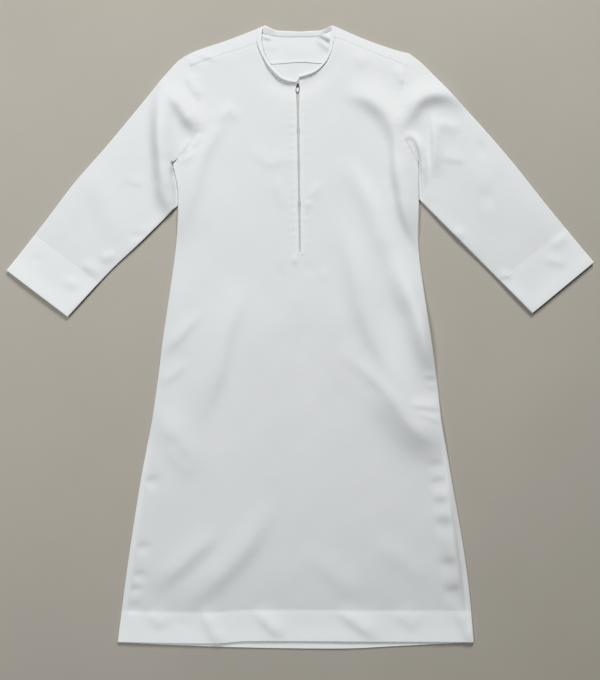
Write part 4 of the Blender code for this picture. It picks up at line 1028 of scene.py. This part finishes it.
def make_binding(material):
    """The folded strip round the neck: a flat rib whose section is an arch, closed on itself."""
    seam = neck_stations()
    stations = np.arange(len(seam))
    keys = [row.station for row in BINDING]
    values = zip(*(row[1:] for row in BINDING))
    rows = smooth(np.column_stack([seam, *(np.interp(stations, keys, value) for value in values)]), 8)
    seam, free, crown, turn = rows[:, :3], rows[:, 3:6], rows[:, 6], np.radians(rows[:, 7])
    share = np.array([0, 0.03, 0.1, 0.22, 0.36, 0.5, 0.64, 0.78, 0.9, 0.97, 1])
    arch = np.sin(np.pi * share**0.72)
    blunt = (1 - np.abs(2 * share - 1) ** 5) ** 0.5
    into = np.column_stack([0 * turn, np.sin(turn), -np.cos(turn)])
    wobble = 0.18 * np.sin(np.arange(len(seam)) / 3.1) * np.sin(np.arange(len(seam)) / 7.3)
    outer = seam[:, None] + (free - seam)[:, None] * share[None, :, None]
    outer[..., 2] += (crown + wobble * (crown > 1))[:, None] * arch[None]
    inner = outer + into[:, None] * (BINDING_THICK * blunt)[None, :, None]
    ring = np.concatenate([outer, inner[:, -2:0:-1]], axis=1)
    rows, around = ring.shape[:2]
    index = np.arange(rows * around).reshape(rows, around)
    faces = quads_of(closed(index)).tolist() + [index[0, ::-1].tolist(), index[-1].tolist()]
    along = run(seam)[:, None] * np.ones(around)
    uv = np.stack([along, np.broadcast_to(np.append(share, share[-2:0:-1]) * 14, along.shape)], axis=-1)
    return add_piece(
        "neck_binding_cloth", to_metres(ring.reshape(-1, 3)), faces, material,
        uv=uv.reshape(-1, 2) * MM, layers=np.full(rows * around, BINDING_LAYERS),
    )


def beads(name, path, axes, length, width, material, **more):
    """Small rounded bars, one at each place: a six-sided section that swells from each end.

    path gives the middles, axes the direction of each, and length and width their size.
    """
    path, axes = to_metres(path), np.asarray(axes, float) * [1, -1, 1]
    axes /= np.linalg.norm(axes, axis=1)[:, None]
    across = np.cross(axes, [0, 0, 1])
    across /= np.linalg.norm(across, axis=1)[:, None]
    up = np.cross(across, axes)
    along = np.array([-0.5, -0.36, 0, 0.36, 0.5]) * length * MM
    swell = np.array([0.25, 0.85, 1, 0.85, 0.25]) * width / 2 * MM
    angle = np.arange(6) * np.pi / 3
    path, axes, across, up = (part[:, None, None] for part in (path, axes, across, up))
    ring = np.cos(angle)[:, None] * across + np.sin(angle)[:, None] * up
    points = path + axes * along[:, None, None] + ring * swell[:, None, None]
    one = np.arange(len(along) * len(angle)).reshape(len(along), len(angle))
    offsets = (np.arange(len(path)) * one.size)[:, None, None]
    faces = (quads_of(closed(one))[None] + offsets).reshape(-1, 4).tolist()
    caps = np.vstack([one[0, ::-1], one[-1]])
    faces += (caps[None] + offsets).reshape(-1, len(angle)).tolist()
    return add_piece(name, points.reshape(-1, 3), faces, material, **more)


def stitch_row(line, height_of, pitch=STITCH_PITCH):
    """Middles and directions of stitches along a flat line, on the surface that height_of gives."""
    middles = at(line, np.arange(pitch / 2, run(line)[-1], pitch))
    ahead = at(line, np.arange(pitch / 2, run(line)[-1], pitch) + 0.5)
    z, z_ahead = height_of(middles), height_of(ahead)
    places = np.column_stack([middles, z + STITCH_LIFT])
    return places, np.column_stack([ahead - middles, z_ahead - z])


def tape_level(down):
    """Height of the zip tapes' top face: under the front's cloth beside the slit."""
    flat = np.column_stack([centre_x(down), down])
    front = puff(flat) + fold_heights(flat, "front", FOLDS)
    return UPPER_BASE + np.maximum(front, 0) - TAPE_UNDER


def make_tapes_and_coil(tape_material, tooth_material):
    """Each tape is a flat strip beside the slit. The coil is a row of bars on each side, which mesh."""
    downs = np.append(np.arange(NECK_AT_ZIP_DOWN["right"], ZIP_END_DOWN, TAPE_STEP), ZIP_END_DOWN)
    pieces = {}
    for side in SIDES:
        start = NECK_AT_ZIP_DOWN[side]
        level = downs[downs >= start - 1]
        columns = []
        for reach in TAPE_COLUMNS:
            flat = np.column_stack([centre_x(level) + sign(side) * reach, level])
            columns.append(np.column_stack([flat, tape_level(level) - TAPE_DROP]))
        grid = np.stack(columns, axis=1)
        index = np.arange(grid.shape[0] * grid.shape[1]).reshape(grid.shape[:2])
        outer = grid.reshape(-1, 3)
        name, layers = f"zip_tape_{side}_weave", np.ones(len(outer))
        quads = quads_of(index)
        pieces[side] = shell(name, outer, quads, TAPE_THICK, tape_material, flat_uv(outer), layers)
        level = np.arange(start + COIL_BELOW_NECK, ZIP_END_DOWN - COIL_ABOVE_END, TOOTH_PITCH)
        level = level + (TOOTH_PITCH / 2 if side == "left" else 0)
        places = [centre_x(level) + sign(side) * TOOTH_OUT, level, tape_level(level) + TOOTH_LIFT]
        axes = np.tile([1.0, 0.0, 0.0], (len(level), 1))
        teeth = beads(
            f"zip_coil_{side}", np.column_stack(places), axes, TOOTH_LENGTH, TOOTH_WIDE, tooth_material
        )
    return pieces


def make_pull_dome(material):
    """The raised middle of the pull tab: rings that narrow to a crown, on the plate's own slope.

    A point at ring r and angle a lies r cos a of the half length along the tab and r sin a of the
    half width across it, and (1 - r squared) to a power of the crown above the plate.
    """
    rings, angles = [1, 0.94, 0.84, 0.7, 0.52, 0.34, 0.16], np.linspace(0, 2 * np.pi, 28, endpoint=False)
    ring, angle = np.meshgrid(rings, angles, indexing="ij")
    middle, half = (PULL_DOME_FROM + PULL_DOME_TO) / 2, (PULL_DOME_TO - PULL_DOME_FROM) / 2
    along = middle + half * ring * np.cos(angle)
    across = PULL_DOME_HALF * ring * np.sin(angle) * np.interp(along, [5, 9, 13, 18], [0.85, 1, 0.92, 0.5])
    rise = PULL_TOP + PULL_DOME * (1 - ring**2) ** 0.6
    lean = radians(PULL_LEAN)
    x, y, z = PULL_PIN
    y_out = y - along * np.cos(lean) + rise * np.sin(lean)
    z_out = z - along * np.sin(lean) + rise * np.cos(lean)
    points = np.stack([x + across, y_out, z_out], axis=-1)
    index = np.arange(ring.size).reshape(ring.shape)
    faces = quads_of(closed(index)).tolist() + [index[0].tolist(), index[-1, ::-1].tolist()]
    piece = add_piece("zip_pull_dome", points.reshape(-1, 3) * MM, faces, material, body="pull")


# Materials.


def linear(hexed):
    """A linear colour from an sRGB hex value."""
    values = np.array([int(hexed[k : k + 2], 16) / 255 for k in (0, 2, 4)])
    values = np.where(values <= 0.04045, values / 12.92, ((values + 0.055) / 1.055) ** 2.4)
    return (*values, 1.0)


def add_node(tree, kind, inputs=None, **settings):
    """Adds a node, sets its properties, and sets each input to a value or links it to a socket."""
    made = tree.nodes.new(kind)
    for name, value in settings.items():
        setattr(made, name, value)
    for key, value in (inputs or {}).items():
        if isinstance(value, bpy.types.NodeSocket):
            tree.links.new(value, made.inputs[key])
        else:
            made.inputs[key].default_value = value
    return made


def new_material(name, **values):
    """A material with its shader's own sockets set. Returns it, its node tree and its shader."""
    material = bpy.data.materials.new(name)
    material.use_nodes = True
    shader = material.node_tree.nodes["Principled BSDF"]
    for key, value in values.items():
        shader.inputs[key.replace("_", " ")].default_value = value
    return material, material.node_tree, shader


def object_place(tree):
    return add_node(tree, "ShaderNodeTexCoord").outputs["Object"]


def cloth_place(tree):
    return add_node(tree, "ShaderNodeUVMap", uv_map="cloth").outputs["UV"]


def noise(tree, place, scale, detail, roughness=0.5):
    inputs = {"Vector": place, "Scale": scale, "Detail": detail, "Roughness": roughness}
    return add_node(tree, "ShaderNodeTexNoise", inputs).outputs["Fac"]


def bands(tree, place, pitch, way, **more):
    """Sine bands at a pitch in millimetres."""
    inputs = {"Vector": place, "Scale": np.pi / 10 / (pitch * MM), **more}
    return add_node(tree, "ShaderNodeTexWave", inputs, bands_direction=way).outputs["Fac"]


def blend(tree, share, low, high, **settings):
    """From one colour to another, each a socket or an sRGB hex value."""
    low, high = (linear(colour) if isinstance(colour, str) else colour for colour in (low, high))
    inputs = {"Factor": share, 6: low, 7: high}
    return add_node(tree, "ShaderNodeMix", inputs, data_type="RGBA", **settings).outputs[2]


def bump(tree, height, depth, strength, **more):
    """A bump whose depth is in millimetres."""
    inputs = {"Height": height, "Distance": depth * MM, "Strength": strength, **more}
    return add_node(tree, "ShaderNodeBump", inputs).outputs[0]


def between(tree, value, low, high):
    return add_node(tree, "ShaderNodeMapRange", {"Value": value, "To Min": low, "To Max": high}).outputs[0]


def mottled(name, low, high, scale, detail, grain=0.5, **values):
    """Its colour drifts between two hex values. Returns what new_material does, and the drift."""
    material, tree, shader = new_material(name, **values)
    drift = noise(tree, object_place(tree), scale, detail, grain)
    tree.links.new(blend(tree, drift, low, high), shader.inputs["Base Color"])
    return material, tree, shader, drift


def suiting(name):
    """White polyester and viscose suiting, closely plain-woven and pressed: matt, even, a soft sheen.

    The weave is 0.45 mm between threads in the real cloth. It is drawn at 1.3 mm, which is as
    coarse as it needs to be to show at all. Turned-up hems, two layers deep, look whiter.
    """
    material, tree, shader = new_material(
        name, Roughness=0.78, Sheen_Weight=0.12, Sheen_Roughness=0.45, Specular_IOR_Level=0.3
    )
    uv, place = cloth_place(tree), object_place(tree)
    layers = add_node(tree, "ShaderNodeAttribute", attribute_name="layers").outputs["Fac"]
    wander = {"Distortion": 0.6, "Detail": 1.0, "Detail Scale": 2.0}
    threads = [bands(tree, uv, WEAVE_PITCH, way, **wander) for way in ("X", "Y")]
    weave = add_node(tree, "ShaderNodeMath", dict(enumerate(threads)), operation="MULTIPLY").outputs[0]
    single = blend(tree, noise(tree, place, 7.0, 3.0), "E1E5E7", "E8EBEC")
    tone = blend(tree, layers, single, "F8FCFD")
    colour = blend(tree, 1.0, tone, between(tree, weave, 0.955, 1.0), blend_type="MULTIPLY")
    tree.links.new(colour, shader.inputs["Base Color"])
    coarse = bump(tree, noise(tree, place, 26.0, 4.0, 0.55), 1.2, 0.25)
    tree.links.new(bump(tree, weave, 0.12, 0.35, Normal=coarse), shader.inputs["Normal"])
    return material


def banded(name, low, high, pitch, place_of, depth, **values):
    """A material of slanting ribs, coloured and raised."""
    material, tree, shader = new_material(name, **values)
    ribs = bands(tree, place_of(tree), pitch, "DIAGONAL")
    tree.links.new(blend(tree, ribs, low, high), shader.inputs["Base Color"])
    tree.links.new(bump(tree, ribs, depth, 0.5), shader.inputs["Normal"])
    return material


def tape_weave():
    """Polyester zip tape, woven in a herringbone and heat set: matt, a little greyer than the cloth."""
    return banded("woven_polyester_zip_tape", "C9C9C6", "E2E2DF", 0.9, cloth_place, 0.15, Roughness=0.7)


def spun_thread():
    """Spun polyester sewing thread, twisted at 0.8 mm: matt and round."""
    return banded("spun_polyester_thread", "D9DBDA", "F1F1EE", 0.8, object_place, 0.1, Roughness=0.65)


def coil_nylon():
    """Nylon coil, extruded and pressed: smooth and faintly glossy, greyed by its own shadows."""
    return mottled("pressed_nylon_coil", "D5D8D6", "E4E7E5", 120.0, 2.0, Roughness=0.38)[0]


def painted_highlight_colour():
    """Painted highlight: an even white on the tab's raised middle, in place of the bright reflection of its
    metal; smooth, with a soft gloss.
    """
    # Painted highlight: the dome is coloured white where the metal would show a bright reflection.
    return mottled("painted_highlight_white", "E9EAE8", "F6F7F5", 500.0, 3.0, Roughness=0.32)[0]


def plated_zinc():
    """Die-cast zinc, nickel plated and tumbled: grey metal, darker than bare nickel, softly blurred, with
    fine rubbing.
    """
    material, tree, shader, rub = mottled(
        "nickel_plated_zinc", "7E8081", "A6A7A6", 900.0, 4.0, Metallic=1.0, Roughness=0.3
    )
    tree.links.new(between(tree, rub, 0.22, 0.42), shader.inputs["Roughness"])
    return material


def plain_floor():
    """Matt greige paint, rolled on: even, with a barely cloudy tone."""
    return mottled(
        "matt_greige_floor", "B0ACA3", "BAB6AD", 3.0, 6.0, 0.6, Roughness=0.95, Specular_IOR_Level=0.2
    )[0]


def stitch_front(thread):
    """The rows down both sides of the zip, the bar below it and the row along the hem."""
    hem_x = np.linspace(*HEM_ROW, 120)
    hem_row = np.column_stack([hem_x, np.interp(hem_x, *HEM_LINE.T) - BODY_HEM + STITCH_IN])
    rows = [stitch_row(hem_row, front_face)]
    for side in SIDES:
        top = NECK_AT_ZIP_DOWN[side] + ZIP_ROW_BELOW_NECK
        downs = np.linspace(top, ZIP_END_DOWN + ZIP_ROW_PAST_END, 60)
        row = np.column_stack([centre_x(downs) + sign(side) * FACING, downs])
        rows.append(stitch_row(row, front_face))
    tack_x = ZIP_END_X + np.linspace(-FACING, FACING, 12)
    tack = np.column_stack([tack_x, np.full(12, ZIP_END_DOWN + TACK_BELOW)])
    rows.append(stitch_row(tack, front_face, TACK_PITCH))
    places, axes = (np.vstack(part) for part in zip(*rows))
    stitches = beads("front_stitching", places, axes, STITCH_LENGTH, STITCH_WIDE, thread)


def stitch_cuff(side, thread):
    row = stitch_row(cuff_line(side), lambda places: cuff_top(places, side))
    cuff_stitches = beads(f"cuff_stitching_{side}", *row, STITCH_LENGTH, STITCH_WIDE, thread)


def dress():
    """Makes every piece and has it stand for its node."""
    pieces = {}
    for node, make in (
        ("front", make_front),
        ("back", make_back),
        ("yoke", make_yoke),
        ("sleeve_left", lambda material: make_sleeve("left", material)),
        ("sleeve_right", lambda material: make_sleeve("right", material)),
        ("neck_binding", make_binding),
    ):
        pieces[node] = make(suiting(f"pressed_suiting_{node}"))
    for side, tape in make_tapes_and_coil(tape_weave(), coil_nylon()).items():
        pieces[f"zip_tape_{side}"] = tape
    for node, piece in pieces.items():
        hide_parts(node)
    metal = plated_zinc()
    for node in ("zip_slider", "zip_pull"):
        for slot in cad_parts[node].material_slots:
            slot.material = metal
    # The dome on the pull tab carries a painted highlight: white in place of a reflection.
    make_pull_dome(painted_highlight_colour())
    thread = spun_thread()
    for side in SIDES:
        stitch_cuff(side, thread)
    stitch_front(thread)


# Floor, light and camera.


def add_floor():
    mesh = bpy.data.meshes.new("floor")
    corners = [(x * FLOOR_HALF, y * FLOOR_HALF, FLOOR_Z) for x, y in ((-1, -1), (1, -1), (1, 1), (-1, 1))]
    mesh.from_pydata(corners, [], [(0, 1, 2, 3)])
    mesh.materials.append(plain_floor())
    floor = bpy.data.objects.new("floor", mesh)
    bpy.context.scene.collection.objects.link(floor)


def add_lamp(lamp):
    """A square area light that looks at the middle of the robe."""
    light = bpy.data.lights.new(lamp.name, "AREA")
    light.shape, light.size, light.energy, light.color = "SQUARE", lamp.size, lamp.power, lamp.colour
    made = bpy.data.objects.new(lamp.name, light)
    made.location = lamp.place
    made.rotation_euler = (-Vector(lamp.place)).to_track_quat("-Z", "Y").to_euler()
    bpy.context.scene.collection.objects.link(made)


def light_scene():
    """A window beyond the neck, a little to the right, and a weaker lamp over the left sleeve.

    The neutral view transform keeps the contrast of the folds, which white cloth loses in the default one.
    """
    world = bpy.data.worlds.new("studio")
    world.use_nodes = True
    background = world.node_tree.nodes["Background"]
    background.inputs["Color"].default_value = WORLD_COLOUR
    background.inputs["Strength"].default_value = WORLD_STRENGTH
    bpy.context.scene.world = world
    bpy.context.scene.view_settings.view_transform = "Khronos PBR Neutral"
    for lamp in LAMPS:
        add_lamp(lamp)


def add_camera():
    """Straight above the middle of the view, with the neck at the top."""
    camera = bpy.data.cameras.new("camera")
    camera.lens, camera.sensor_width, camera.sensor_fit = LENS, SENSOR, "AUTO"
    camera.clip_start, camera.clip_end = 0.05, 50
    view = bpy.data.objects.new("camera", camera)
    view.location = (*VIEW_MIDDLE, VIEW_ROWS * MM_PER_PIXEL * MM * LENS / SENSOR + VIEW_LEVEL)
    bpy.context.scene.collection.objects.link(view)
    bpy.context.scene.camera = view


dress()
add_floor()
light_scene()
add_camera()
